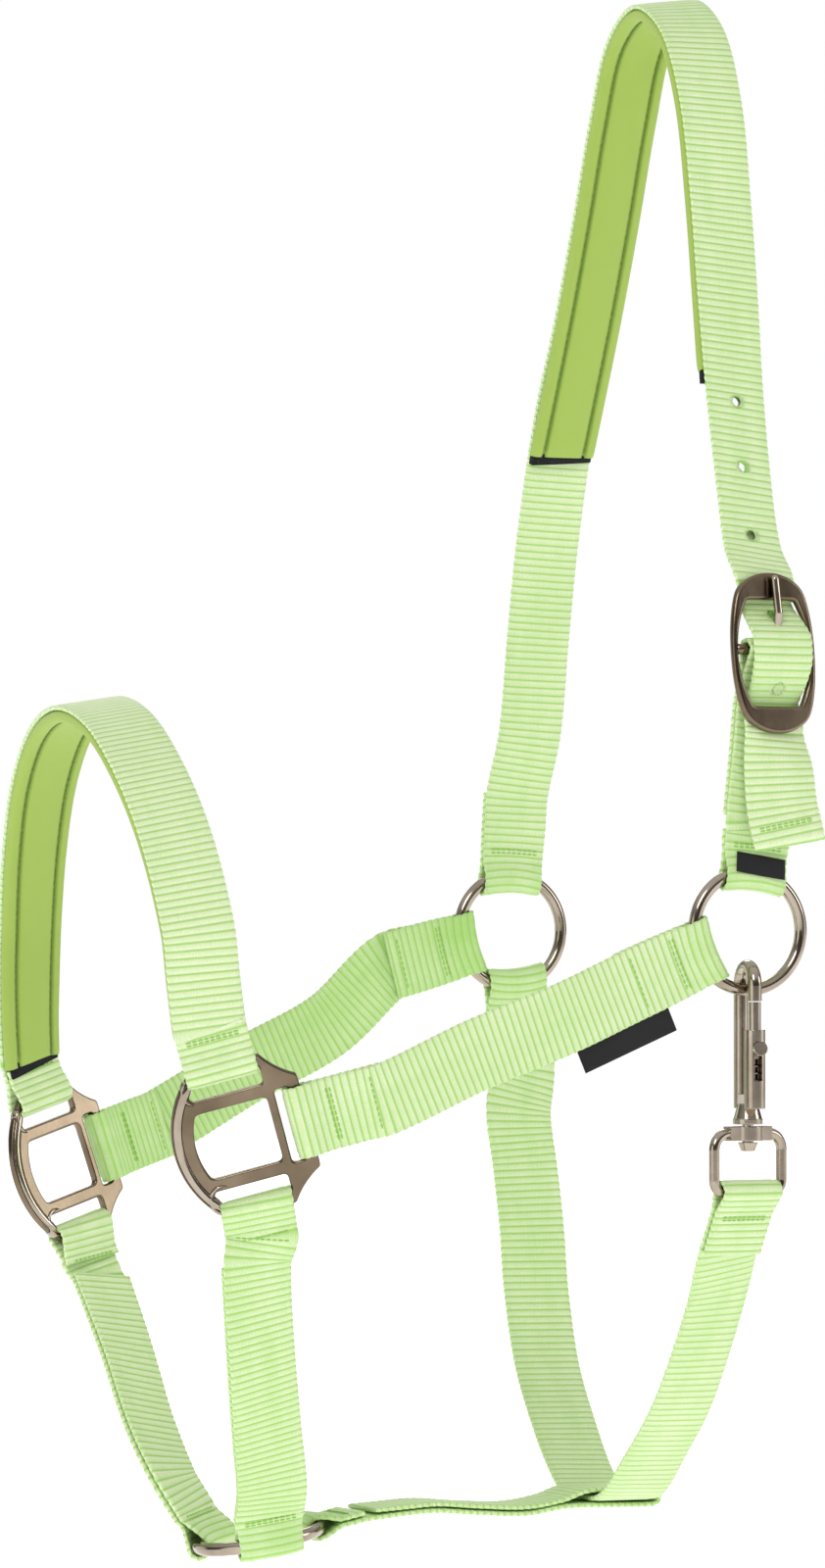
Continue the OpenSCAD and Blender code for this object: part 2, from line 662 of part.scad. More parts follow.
spring_r = 1.5;
spring_wire = 0.35;
turns = 5;
module snap_spring() {
  pitch = (bolt_end_z - floor_z - 0.9) / turns;
  color(NICKEL)
    snap_place()
      translate([0, -snap_half, floor_z + 0.45 + spring_wire])
        for (i = [0:turns - 1])
          translate([0, 0, i * pitch])
            torus_small(spring_r, spring_wire);
}
module torus_small(r, wire) {
  rotate_extrude($fn = 32)
    translate([r, 0])
      circle(r = wire, $fn = 12);
}
side_x = 14.7;         // half width of the swivel loop
low_bend = 4;
high_bend = 5.7;
module bend(r, from) {
  rotate([90, 0, 0])
    rotate([0, 0, from])
      rotate_extrude(angle = 90, $fn = 48)
        translate([r, 0])
          circle(r = loop_r, $fn = 24);
}
module swivel_loop() {
  low = d_bar_z + low_bend;
  high = eye_top - eye_h / 2 - high_bend;
  color(NICKEL)
    translate(swivel_c)
      rotate([0, 0, d_yaw])
        difference() {
          union() {
            translate([0, 0, eye_top - eye_h])
              cylinder(r = 5.2, h = eye_h, $fn = 48);
            translate([high_bend - side_x, -2.2, eye_top - eye_h])
              cube([2 * (side_x - high_bend), 4.4, eye_h]);
            for (s = [0, 1])
              mirror([s, 0, 0]) {
                translate([side_x - high_bend, 0, high])
                  bend(high_bend, 0);
                translate([side_x, 0, low])
                  cylinder(r = loop_r, h = high - low, $fn = 24);
                translate([side_x - low_bend, 0, low])
                  bend(low_bend, -90);
              }
            translate([low_bend - side_x, 0, d_bar_z])
              rotate([0, 90, 0])
                cylinder(r = loop_r, h = 2 * (side_x - low_bend), $fn = 24);
          }
          translate([0, 0, eye_top - eye_h - 1])
            cylinder(r = pin_r + 0.25, h = eye_h + 2, $fn = 32);
        }
}

crown_strap();
crown_tail();
crown_pad_foam();
crown_pad_lining();
billet_strap();
size_label();
buckle_frame();
buckle_tongue();
near_ring();
far_ring();
near_cheek_strap();
far_cheek_strap();
maker_label();
near_side_plate();
far_side_plate();
noseband_strap();
nose_pad_foam();
nose_pad_lining();
near_chin_strap();
far_chin_strap();
chin_ring();
jaw_strap();
throat_strap();
snap_body();
snap_bolt();
snap_spring();
swivel_loop();
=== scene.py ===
"""Visual model of a horse head halter: ribbed webbing, pads, cast hardware, labels, camera and light."""
import math
import bmesh
import bpy
import numpy as np
from mathutils import Matrix, Vector
from mathutils.geometry import tessellate_polygon


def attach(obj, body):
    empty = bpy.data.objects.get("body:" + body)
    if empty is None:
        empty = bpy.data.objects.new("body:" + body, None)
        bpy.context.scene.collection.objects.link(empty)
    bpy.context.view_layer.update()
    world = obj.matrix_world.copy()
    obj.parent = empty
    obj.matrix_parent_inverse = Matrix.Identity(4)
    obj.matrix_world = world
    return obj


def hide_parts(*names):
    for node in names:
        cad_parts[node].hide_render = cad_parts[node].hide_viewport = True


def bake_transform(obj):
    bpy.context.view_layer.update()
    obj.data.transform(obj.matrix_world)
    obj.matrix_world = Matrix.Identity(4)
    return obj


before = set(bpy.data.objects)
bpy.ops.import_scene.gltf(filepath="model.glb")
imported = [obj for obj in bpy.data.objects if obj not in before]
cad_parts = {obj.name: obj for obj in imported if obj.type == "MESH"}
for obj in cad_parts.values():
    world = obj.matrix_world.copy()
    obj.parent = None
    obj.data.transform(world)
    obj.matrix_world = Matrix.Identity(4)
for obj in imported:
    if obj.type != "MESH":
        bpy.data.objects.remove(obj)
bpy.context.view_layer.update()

MM = 0.001
NET = "webbing_network"

# ---- sizes, in millimetres, as in the CAD source ---------------------------------
STRAP_W = 25.0
STRAP_T = 2.0
LAYER_GAP = 0.3
HALF_LAYER = (STRAP_T + LAYER_GAP) / 2
SEWN_TAIL = 30.0
RING_R, RING_WIRE = 20.7, 2.15
CHIN_R, CHIN_WIRE, CHIN_TILT = 21.5, 2.4, 10.0
RING_CLEAR = 0.3
NIP = 0.85             # webbing gathers to this share of its width where it folds round a ring
FOLD_BOW = 0.4         # share of a ring's curve that the fold follows
FAR_RING = np.array([-7.4, 99.6, -323.4])
NEAR_RING = np.array([-7.4, -99.6, -323.4])
CHIN_RING = np.array([-150.9, 0.0, -537.5])
PLATE_C = {-1: np.array([-192.8, -79.8, -394.5]), 1: np.array([-195.7, 78.6, -407.3])}
PLATE_YAW, PLATE_PITCH, PLATE_ROLL = 22.0, 15.0, 9.0
PLATE_T, PLATE_HALF_Z = 2.8, 27.0
BAR_OFF, REAR_OFF, SLOT_X, BAR_ARC = 24.9, 23.3, 0.5, 3.75
BUCKLE_C = np.array([1.5, -102.5, -225.0])
BUCKLE_YAW, BUCKLE_TILT = 10.0, 6.0
BUCKLE_W, BUCKLE_L, BUCKLE_T, BUCKLE_BAR = 36.0, 57.0, 3.0, 1.9
SWIVEL = np.array([-7.4, -99.6, 0.0])
D_YAW, D_BAR_Z, LOOP_R = 11.0, -414.7, 1.9
NEAR_CHEEK_A, FAR_CHEEK_A = 22.9, 15.0
THROAT_Z, THROAT_TURN = -526.5, -6.0
FOAM_T, LINING_T = 3.0, 0.9

X = np.array([1.0, 0.0, 0.0])
Y = np.array([0.0, 1.0, 0.0])
Z = np.array([0.0, 0.0, 1.0])


# ---- vectors -----------------------------------------------------------------------
def unit(v):
    v = np.asarray(v, float)
    return v / np.linalg.norm(v)


def turn(axis, degrees, v):
    """v turned about X, Y or Z."""
    c, s = math.cos(math.radians(degrees)), math.sin(math.radians(degrees))
    i = "XYZ".index(axis)
    j, k = (i + 1) % 3, (i + 2) % 3
    out = np.array(v, float)
    out[j], out[k] = v[j] * c - v[k] * s, v[j] * s + v[k] * c
    return out


def flip(v, side):
    return np.array([v[0], side * v[1], v[2]], float)


def plate_v(v, side):
    return flip(turn("Z", PLATE_YAW, turn("Y", -PLATE_PITCH, turn("X", -PLATE_ROLL, v))), side)


def buckle_v(v):
    return turn("Z", BUCKLE_YAW, turn("X", -BUCKLE_TILT, v))


def chin_v(v):
    return turn("Y", -CHIN_TILT, v)


def square_to(v, w):
    v = np.asarray(v, float)
    return unit(v - w * (v @ w))


# ---- routes: rows of position, width vector and bow vector ----------------------------
def pt(p, w, b=(0, 0, 0)):
    return np.concatenate([p, w, b]).astype(float)


def spline(P, steps):
    """A smooth curve through the rows of P whose tangents allow for uneven spacing."""
    P = np.array(P, float)
    ends = np.vstack([2 * P[0] - P[1], P, 2 * P[-1] - P[-2]])
    out = []
    for i in range(1, len(ends) - 2):
        a, b, c, d = ends[i - 1:i + 3]
        gaps = [np.linalg.norm((q - p)[:3]) for p, q in ((a, b), (b, c), (c, d))]
        m = (c - a) * gaps[1] / (gaps[0] + gaps[1])
        k = (d - b) * gaps[1] / (gaps[1] + gaps[2])
        for t in np.arange(steps) / steps:
            u = 1 - t
            out.append(b * u * u * (1 + 2 * t) + c * t * t * (3 - 2 * t) + m * t * u * u - k * t * t * u)
    out.append(P[-1])
    return np.array(out)


def frames(R):
    """Heading, width and face vectors of a route, and its share of the full width."""
    head = np.gradient(R[:, :3], axis=0)
    head /= np.linalg.norm(head, axis=1)[:, None]
    wide = R[:, 3:6] - head * (R[:, 3:6] * head).sum(1)[:, None]
    wide /= np.linalg.norm(wide, axis=1)[:, None]
    return head, wide, np.cross(head, wide), np.linalg.norm(R[:, 3:6], axis=1)


def layer(R, h):
    """A list of route points moved sideways by h along its own face."""
    R = np.array(R, float)
    out = R.copy()
    for i in range(len(R)):
        head = unit(R[min(i + 1, len(R) - 1), :3] - R[max(i - 1, 0), :3])
        wide = unit(R[i, 3:6] - head * (R[i, 3:6] @ head))
        out[i, :3] += np.cross(head, wide) * h
    return list(out)


def loop(p, d, w, n, arc, tail, sag=0.0, b=(0, 0, 0), squeeze=1.0, h=HALF_LAYER):
    """Webbing round a bar, from its cut tail to its main run, as in the CAD source."""
    p, d, w, n, b = (np.asarray(v, float) for v in (p, d, w, n, b))
    ring = sag > 0
    crease = arc + (2.5 if ring else 4)
    shoulder = [(-0.3 * arc, arc, 1)] if ring else []
    q = [(tail, -h, 0), ((tail + crease) / 2, -h, 0.1), (crease, -h - 0.1, 0.5), (0.62 * arc, -0.8 * arc, 1)]
    q += [(a, -c, f) for a, c, f in shoulder]
    q += [(-sag - 0.3 * arc, -0.95 * arc, 1), (-sag - 0.82 * arc, -0.57 * arc, 1), (-sag - arc, 0, 1),
          (-sag - 0.82 * arc, 0.57 * arc, 1), (-sag - 0.3 * arc, 0.95 * arc, 1)]
    q += shoulder
    q += [(0.62 * arc, 0.8 * arc, 1), (crease, h + 0.1, 0.5), ((tail + crease) / 2, h, 0.1), (tail, h, 0)]
    return [pt(p + d * a + n * c, w * (1 - (1 - squeeze) * f), b * f) for a, c, f in q]


def ring_loop(p, d, w, n, r, wire, tail):
    """Webbing round a ring, whose wire centre is at p."""
    inner = r - wire
    sag = inner - math.sqrt(inner ** 2 - (NIP * STRAP_W / 2) ** 2)
    return loop(p, d, w, n, wire + RING_CLEAR + STRAP_T / 2, tail, sag * (1 - FOLD_BOW) + RING_EXTRA,
                -np.asarray(d) * sag * FOLD_BOW, NIP)


RING_EXTRA = 0.25


def mirror_y(P):
    return [np.concatenate([flip(c[:3], -1), flip(c[3:6], -1), flip(c[6:], -1)]) for c in P]


def resample(R, spacing):
    """Points at an even spacing along a densely sampled route."""
    s = np.concatenate([[0], np.cumsum(np.linalg.norm(np.diff(R[:, :3], axis=0), axis=1))])
    n = max(2, int(round(s[-1] / spacing)))
    at = np.linspace(0, s[-1], n + 1)
    return np.stack([np.interp(at, s, R[:, k]) for k in range(R.shape[1])], 1), at


# crown
crown_d = unit([0.05, -0.06, 1])
crown_start = ring_loop(FAR_RING + Z * RING_R, crown_d, X, unit(np.cross(crown_d, -X)),
                        RING_R, RING_WIRE, SEWN_TAIL)
crown_mid = [
    pt([-3.3, 91, -250], X), pt([-1.8, 87, -215], X), pt([0, 82.5, -179], X), pt([2.3, 72, -134], X),
    pt([4, 58, -99], X), pt([6, 46, -62], X), pt([7, 34, -27], X), pt([7.5, 21, 0], [1, 0, 0.06]),
    pt([7.5, -1, 12], [0.99, 0, 0.12]), pt([7.5, -25, 0], [1, 0, 0.06]), pt([7, -41, -27], [1, 0.05, 0]),
    pt([6, -51, -62], [0.99, 0.1, 0]), pt([4, -61, -99], [0.99, 0.12, 0]),
    pt([2.3, -70, -134], [0.98, 0.2, 0]),
    pt([1, -80.5, -169], [0.97, 0.25, 0]), pt([0.8, -87, -188], [0.98, 0.22, 0])]
OVER_BAR = BUCKLE_BAR + RING_CLEAR + STRAP_T + LAYER_GAP + STRAP_T / 2
UNDER = BUCKLE_T / 2 + LAYER_GAP + STRAP_T / 2
crown_end = [pt(BUCKLE_C + buckle_v([0, y, z]), buckle_v(X) * f) for y, z, f in (
    (UNDER + 0.3, 25.5, 1), (UNDER + 0.2, 16.8, 0.8), (1.9, 14, 0.86), (-2, 9, 0.96),
    (-OVER_BAR + 0.4, 4.5, 1),
    (-OVER_BAR, 0, 1), (-OVER_BAR + 0.4, -4.5, 1), (-2.2, -10.8, 0.94), (1.9, -16.7, 0.84),
    (UNDER + 0.1, -19.5, 0.8), (UNDER, -24, 1), (UNDER, -30, 1))]
crown_route = crown_start + crown_mid + crown_end
tail_top = BUCKLE_C + buckle_v([0, UNDER, -31.2])
tail_mid = [
    pt(tail_top, buckle_v(X)), pt(tail_top + [-0.1, -1.1, -5], buckle_v(X)),
    pt([1.2, -106.4, -266], [0.98, -0.15, 0.05]), pt([1.4, -109, -280], [0.93, -0.32, 0.12]),
    pt([2.6, -112, -291.5], [0.89, -0.41, 0.17])]
crown_pad_mid = [pt([1.4, 76, -147], X)] + crown_mid[4:13] + [pt([2.6, -67.6, -126], [0.98, 0.18, 0])]

# noseband
nose_off = np.array([SLOT_X, 0, BAR_OFF])


def plate_loop(side, p, d, w, out, tail):
    return loop(PLATE_C[side] + plate_v(p, side), plate_v(d, side), plate_v(w, side),
                plate_v([0, out, 0], side),
                BAR_ARC, tail)


NOSE_TAIL = 13.0
nose_far_foot = pt([-207.3, 81.7, -369.7], [0.9, 0.36, 0.26])
nose_near_foot = pt([-204.5, -82.9, -356.9], [0.9, -0.36, 0.26])
nose_far_rise = pt([-208, 81.4, -352], [0.92, 0.32, 0.23])
nose_near_rise = pt([-206.2, -82, -341], [0.92, -0.32, 0.23])
nose_half = [
    pt([-207.7, 80.4, -322], [0.95, 0.25, 0.18]),
    pt([-210.5, 68, -292], [0.97, 0.17, 0.17]), pt([-213.4, 50.5, -268], [0.98, 0.1, 0.15]),
    pt([-215.5, 27, -250], [0.985, 0.05, 0.15]), pt([-216.5, 0, -243.5], [0.985, 0, 0.15])]
nose_mid = ([nose_far_foot, nose_far_rise] + nose_half + mirror_y(nose_half[:-1])[::-1]
            + [nose_near_rise, nose_near_foot])
nose_route = (plate_loop(1, nose_off, Z, X, 1, NOSE_TAIL) + nose_mid
              + plate_loop(-1, nose_off, Z, X, 1, NOSE_TAIL)[::-1])


# cheeks
def cheek_route(side, mid, rise):
    d = np.array([-math.cos(math.radians(rise)), 0, -math.sin(math.radians(rise))])
    w = np.array([d[2], 0, -d[0]])
    ring = NEAR_RING if side < 0 else FAR_RING
    return (plate_loop(side, [REAR_OFF, 0, 0], X, Z, 1, SEWN_TAIL) + mid
            + ring_loop(ring + d * RING_R, d, w, [0, side, 0], RING_R, RING_WIRE, SEWN_TAIL)[::-1])


near_cheek = cheek_route(-1, [pt([-112, -101.5, -366], [-0.36, 0, 0.93]),
                              pt([-80, -102.5, -354], [-0.38, 0, 0.92])],
                         NEAR_CHEEK_A)
far_cheek = cheek_route(1, [pt([-112, 101.5, -374], [-0.36, 0, 0.93]),
                            pt([-80, 102.5, -358], [-0.38, 0, 0.92])],
                        FAR_CHEEK_A)


# chin straps
def chin_point(a):
    a = math.radians(a)
    return CHIN_RING + chin_v([CHIN_R * math.cos(a), CHIN_R * math.sin(a), 0])


def chin_tangent(a):
    a = math.radians(a)
    return chin_v([-math.sin(a), math.cos(a), 0])


def chin_inward(a):
    a = math.radians(a)
    return chin_v([-math.cos(a), -math.sin(a), 0])


CHIN_HALF = NIP * STRAP_W / 2
CHIN_BOW = CHIN_R - math.sqrt(CHIN_R ** 2 - CHIN_HALF ** 2)
CHIN_ARC = CHIN_WIRE + RING_CLEAR + STRAP_T / 2 + 0.6


def chin_route(side, mid, a, w_end, lean):
    fall = flip(unit([0.25, -0.22, -0.93]), side)
    top = PLATE_C[side] + plate_v([SLOT_X, 0, -BAR_OFF], side)
    d = square_to(lean, w_end)
    out = unit(np.cross(d, w_end))
    if out @ chin_inward(a) > 0:
        out = -out
    return (loop(top, fall, plate_v(X, side), plate_v(Y, side), BAR_ARC, 11.5)
            + layer(mid, -side * HALF_LAYER)
            + loop(chin_point(a), d, w_end, out, CHIN_ARC, 11.5, 0, chin_inward(a) * CHIN_BOW, NIP)[::-1]
            + layer(mid, side * HALF_LAYER)[::-1])


near_chin_mid = [
    pt([-182.9, -73, -438], [0.97, -0.08, 0.15]), pt([-175.6, -60, -472], [0.99, 0.05, 0.1]),
    pt([-167.5, -46, -498], [0.99, 0, 0.05]), pt([-160.5, -34, -518], [0.98, -0.1, 0])]
far_chin_mid = [
    pt([-182.5, 72, -448], [0.9, 0.38, 0.1]), pt([-180, 54.5, -472], [0.86, 0.48, 0.1]),
    pt([-178, 37, -498], [0.83, 0.54, 0.1]), pt([-174.5, 24.5, -516], [0.79, 0.6, 0.12])]
near_chin = chin_route(-1, near_chin_mid, -101.6, chin_tangent(-101.6), [-0.13, -0.4, 0.92])
far_chin = chin_route(1, far_chin_mid, 128, -chin_tangent(128), [-0.1, 0.4, 0.92])

# throat
throat_mid = [
    pt([-8, 91, -391], [0.99, -0.1, 0]), pt([-8, 85, -411], [0.99, -0.12, 0]),
    pt([-8, 79.3, -433], [0.99, -0.12, 0]), pt([-8.5, 74.5, -455], [0.99, -0.12, 0]),
    pt([-10, 62, -482], [0.99, -0.1, 0]), pt([-12, 43, -503], [0.99, -0.08, 0]), pt([-13.5, 25, -519], X),
    pt([-14, 12, THROAT_Z], X), pt([-14, 0, THROAT_Z], X), pt([-14, -13, THROAT_Z], X),
    pt([-13.5, -22, -522.5], X), pt([-12.8, -35, -511], [0.99, 0.05, 0]),
    pt([-11, -51.5, -494], [0.99, 0.1, 0]),
    pt([-9.5, -63.5, -476], [0.98, 0.15, 0]), pt([-8.2, -76.5, -453], [0.98, 0.19, 0])]
throat_d = unit([0.06, -0.06, -1])
throat_w = turn("Y", THROAT_TURN, X)
d_bar = np.array([SWIVEL[0], SWIVEL[1], D_BAR_Z])
d_w = turn("Z", D_YAW, X)
d_d = square_to([0, 0.5, -1], d_w)
throat_route = (
    ring_loop(FAR_RING + turn("Y", THROAT_TURN, -Z) * RING_R, throat_d, throat_w,
              unit(np.cross(throat_d, throat_w)),
              RING_R, RING_WIRE, SEWN_TAIL)
    + throat_mid
    + loop(d_bar, d_d, d_w, unit(np.cross(d_w, d_d)), LOOP_R + RING_CLEAR + STRAP_T / 2 + 0.15, 24)[::-1])

# jaw
jaw_mid = [pt([-101, 0, -529], Y), pt([-87, 0, -528.2], Y), pt([-71, 0, -529.4], Y), pt([-52, 0, -530.2], Y),
           pt([-38, 0, -528.2], Y)]
jaw_d = unit([1, 0, 0.22])
jaw_tip = [(-28, 1.1), (-14, 1.2), (-2.2, 1.2), (-0.3, 0.8), (0.4, 0),
           (-0.3, -0.8), (-2.2, -1.2), (-14, -1.25), (-28, -1.1)]
jaw_route = (
    ring_loop(chin_point(0), jaw_d, Y, unit(np.cross(Y, jaw_d)), CHIN_R, CHIN_WIRE, 15)
    + layer(jaw_mid, -HALF_LAYER)
    + [pt([x, 0, THROAT_Z - s * (STRAP_T + LAYER_GAP)], Y) for x, s in jaw_tip]
    + layer(jaw_mid, HALF_LAYER)[::-1]
    + [pt(chin_point(0) + jaw_d * 19 + Z * HALF_LAYER, Y)])

# billet
billet_d = unit([0.1, 0, 1])
billet_w = np.array([0.995, 0, -0.1])
billet_mid = [pt([-4.2, -99.7, -284], [1, 0.06, 0]), pt([-1.7, -98.6, -262], [0.99, 0.13, 0]),
              pt([0.4, -97.4, -243], [0.985, 0.18, 0])]
billet_top = unit([0, 0.38, -1])
billet_route = (
    ring_loop(NEAR_RING + billet_d * RING_R, billet_d, billet_w, -Y, RING_R, RING_WIRE, 14)
    + layer(billet_mid, -HALF_LAYER)
    + loop(BUCKLE_C, buckle_v(billet_top), buckle_v(X), buckle_v(np.cross(billet_top, X)),
           BUCKLE_BAR + RING_CLEAR + STRAP_T / 2, 12)[::-1]
    + layer(billet_mid, HALF_LAYER)[::-1])


# ---- node materials ----------------------------------------------------------------------
class Nodes:
    """A short way to write a material's node tree."""

    def __init__(self, name):
        self.material = bpy.data.materials.new(name)
        self.material.use_nodes = True
        self.tree = self.material.node_tree
        self.shader = self.tree.nodes["Principled BSDF"]

    def add(self, kind, inputs=None, **settings):
        node = self.tree.nodes.new(kind)
        for key, value in settings.items():
            setattr(node, key, value)
        for key, value in (inputs or {}).items():
            if isinstance(value, bpy.types.NodeSocket):
                self.tree.links.new(value, node.inputs[key])
            else:
                node.inputs[key].default_value = value
        return node

    def math(self, operation, a, b=0.0, c=0.0, clamp=False):
        node = self.add("ShaderNodeMath", {0: a, 1: b, 2: c}, operation=operation, use_clamp=clamp)
        return node.outputs[0]

    def mix(self, factor, a, b):
        node = self.add("ShaderNodeMix", {0: factor, 6: a, 7: b}, data_type="RGBA")
        return node.outputs[2]

    def ramp(self, factor, stops):
        node = self.add("ShaderNodeValToRGB", {0: factor})
        while len(node.color_ramp.elements) < len(stops):
            node.color_ramp.elements.new(0.5)
        for element, (position, level) in zip(node.color_ramp.elements, stops):
            element.position = position
            element.color = (level, level, level, 1)
        return node.outputs[0]

    def noise(self, vector, scale, detail=3.0, roughness=0.5):
        return self.add("ShaderNodeTexNoise", {"Vector": vector, "Scale": scale, "Detail": detail,
                                               "Roughness": roughness}).outputs["Fac"]

    def scaled(self, vector, scale):
        return self.add("ShaderNodeVectorMath", {0: vector, 1: scale}, operation="MULTIPLY").outputs[0]

    def set(self, **values):
        for key, value in values.items():
            socket = self.shader.inputs[key.replace("_", " ")]
            if isinstance(value, bpy.types.NodeSocket):
                self.tree.links.new(value, socket)
            else:
                socket.default_value = value

    def bump(self, height, strength, distance, normal=None):
        inputs = {"Height": height, "Strength": strength, "Distance": distance}
        if normal is not None:
            inputs["Normal"] = normal
        return self.add("ShaderNodeBump", inputs).outputs[0]


RIB = 2.65             # rib pitch of the webbing
YARN = 0.52            # width of one warp yarn


def srgb(r, g, b):
    """An 8-bit display colour as linear RGBA."""
    def line(c):
        c /= 255
        return c / 12.92 if c <= 0.04045 else ((c + 0.055) / 1.055) ** 2.4
    return (line(r), line(g), line(b), 1)


def webbing_material():
    m = Nodes("lime_webbing")
    weave = m.add("ShaderNodeAttribute", attribute_name="weave").outputs["Vector"]
    # The third weave value is painted shade: an amount per strap, deepened at gathered creases.
    along, across, shade = m.add("ShaderNodeSeparateXYZ", {0: weave}).outputs
    fine = m.noise(m.scaled(weave, (2.0, 0.9, 1.0)), 2.2)
    patch = m.noise(m.scaled(weave, (0.06, 0.12, 1.0)), 1.0, 2.0)
    phase = m.math("FRACT", along)
    row = m.math("FRACT", m.math("MULTIPLY", m.math("FLOOR", along), 0.5))
    wobble = m.math("ADD", m.math("MULTIPLY_ADD", fine, 0.5, across), m.math("MULTIPLY", row, YARN))
    yarn = m.math("MULTIPLY_ADD", m.math("SINE", m.math("MULTIPLY", wobble, 2 * math.pi / YARN)), 0.5, 0.5)
    # Painted shade and light on the ribs: the grooves get a saturated darker green, the rib tops a paler
    # green.
    body = m.mix(m.ramp(phase, [(0.0, 0.0), (0.1, 0.35), (0.25, 0.8), (0.8, 1.0), (0.94, 0.6), (1.0, 0.0)]),
                 srgb(146, 200, 84), srgb(206, 224, 166))
    # Painted highlights: glints on the warp yarns along each rib and a bright line near each crest, mixed
    # towards near white.
    painted_yarn_glint = m.math("MULTIPLY", yarn, m.ramp(phase, [(0.08, 0.1), (0.35, 0.75), (0.72, 1.0), (0.9, 0.3)]))
    line = m.ramp(phase, [(0.7, 0.0), (0.8, 0.75), (0.86, 0.0)])
    lit = m.math("MAXIMUM", painted_yarn_glint, line)
    lit = m.math("MULTIPLY", lit, m.math("MULTIPLY_ADD", fine, 1.5, -0.05, True), clamp=True)
    pale = m.mix(m.math("MULTIPLY", lit, 0.9), body, srgb(244, 248, 230))
    # Random patches plus painted shade mix the colour towards a saturated darker green.
    patchy_tone_and_painted_shade = m.math("MULTIPLY_ADD", patch, 0.5, m.math("MULTIPLY_ADD", shade, 0.45, -0.34), clamp=True)
    m.set(Base_Color=m.mix(patchy_tone_and_painted_shade, pale, srgb(148, 202, 84)),
          Roughness=m.math("MULTIPLY_ADD", fine, 0.25, 0.45),
          Specular_IOR_Level=0.35, Sheen_Weight=0.15, Sheen_Roughness=0.4, Sheen_Tint=(0.9, 1.0, 0.8, 1))
    m.set(Normal=m.bump(m.math("MULTIPLY_ADD", yarn, 0.6, m.math("MULTIPLY", fine, 0.6)), 0.6, 0.0002))
    return m.material


def lining_material():
    m = Nodes("olive_lining")
    weave = m.add("ShaderNodeAttribute", attribute_name="weave").outputs["Vector"]
    along, across, seam = m.add("ShaderNodeSeparateXYZ", {0: weave}).outputs
    twill = m.math("SINE", m.math("MULTIPLY", m.math("ADD", along, across), 2 * math.pi / 0.62))
    cross = m.math("SINE", m.math("MULTIPLY", across, 2 * math.pi / 0.42))
    fine = m.noise(weave, 3.0)
    patch = m.noise(weave, 0.15, 2.0)
    thread = m.math("MULTIPLY_ADD", m.math("ADD", twill, m.math("MULTIPLY", cross, 0.4)), 0.25, 0.5)
    body = m.mix(m.math("MULTIPLY_ADD", fine, 0.5, m.math("MULTIPLY", thread, 0.5)),
                 srgb(142, 168, 68), srgb(172, 196, 102))
    worn = m.mix(m.math("MULTIPLY", patch, 0.35), body, srgb(150, 176, 80))
    m.set(Base_Color=m.mix(seam, worn, srgb(104, 132, 44)), Roughness=0.88,
          Specular_IOR_Level=0.15, Sheen_Weight=0.15, Sheen_Roughness=0.6)
    m.set(Normal=m.bump(m.math("ADD", thread, fine), 0.35, 0.00015))
    return m.material


def plain_cloth(name, dark, light, scale, rough=0.8):
    m = Nodes(name)
    at = m.add("ShaderNodeTexCoord").outputs["Object"]
    weave = m.add("ShaderNodeTexWave", {"Vector": at, "Scale": scale, "Distortion": 0.4, "Detail": 2.0},
                  bands_direction="DIAGONAL").outputs["Fac"]
    grain = m.noise(at, scale * 3)
    shade = m.math("MULTIPLY_ADD", grain, 0.6, m.math("MULTIPLY", weave, 0.4))
    m.set(Base_Color=m.mix(shade, dark, light), Roughness=rough,
          Specular_IOR_Level=0.25, Normal=m.bump(m.math("ADD", weave, grain), 0.4, 0.0001))
    return m.material


def foam_material():
    m = Nodes("black_foam")
    at = m.add("ShaderNodeTexCoord").outputs["Object"]
    cells = m.add("ShaderNodeTexVoronoi", {"Vector": at, "Scale": 1500.0}).outputs["Distance"]
    m.set(Base_Color=m.mix(cells, srgb(16, 16, 17), srgb(44, 44, 46)), Roughness=0.95, Specular_IOR_Level=0.2,
          Normal=m.bump(cells, 0.6, 0.0003))
    return m.material


def metal_material(name, low, high, rough_low, rough_high, cast):
    """Smoked nickel plate: colour drifts with thickness, with fine casting and handling marks."""
    m = Nodes(name)
    at = m.add("ShaderNodeTexCoord").outputs["Object"]
    cloud = m.noise(at, 60.0, 3.0)
    grain = m.noise(at, 900.0, 2.0, 0.6)
    marks = m.noise(m.scaled(at, (1.0, 1.0, 0.06)), 2200.0, 2.0)
    m.set(Base_Color=m.mix(m.ramp(cloud, [(0.3, 0.0), (0.7, 1.0)]), low, high), Metallic=1.0,
          Roughness=m.math("MULTIPLY_ADD", m.math("MULTIPLY", cloud, marks),
                           rough_high - rough_low, rough_low))
    edge = m.add("ShaderNodeBevel", {"Radius": 0.0004}, samples=6).outputs[0]
    height = m.math("ADD", m.math("MULTIPLY", grain, cast), m.math("MULTIPLY", marks, 0.3))
    m.set(Normal=m.bump(height, 0.1, 0.0001, edge))
    return m.material


WEBBING = webbing_material()
LINING = lining_material()
FOAM = foam_material()
THREAD = plain_cloth("lime_thread", srgb(104, 168, 48), srgb(178, 216, 116), 900.0, 0.6)
DARK_THREAD = plain_cloth("olive_thread", srgb(92, 120, 42), srgb(128, 158, 66), 900.0, 0.7)
LABEL = plain_cloth("black_label", srgb(14, 14, 15), srgb(38, 38, 40), 1400.0, 0.65)
# Dark smoked nickel whose base colour is darkened further as painted dark reflection.
DARK_NICKEL_WITH_PAINTED_REFLECTION = metal_material("smoked_nickel_cast_painted_dark_reflection", srgb(96, 84, 68), srgb(124, 110, 92), 0.16, 0.34, 0.35)
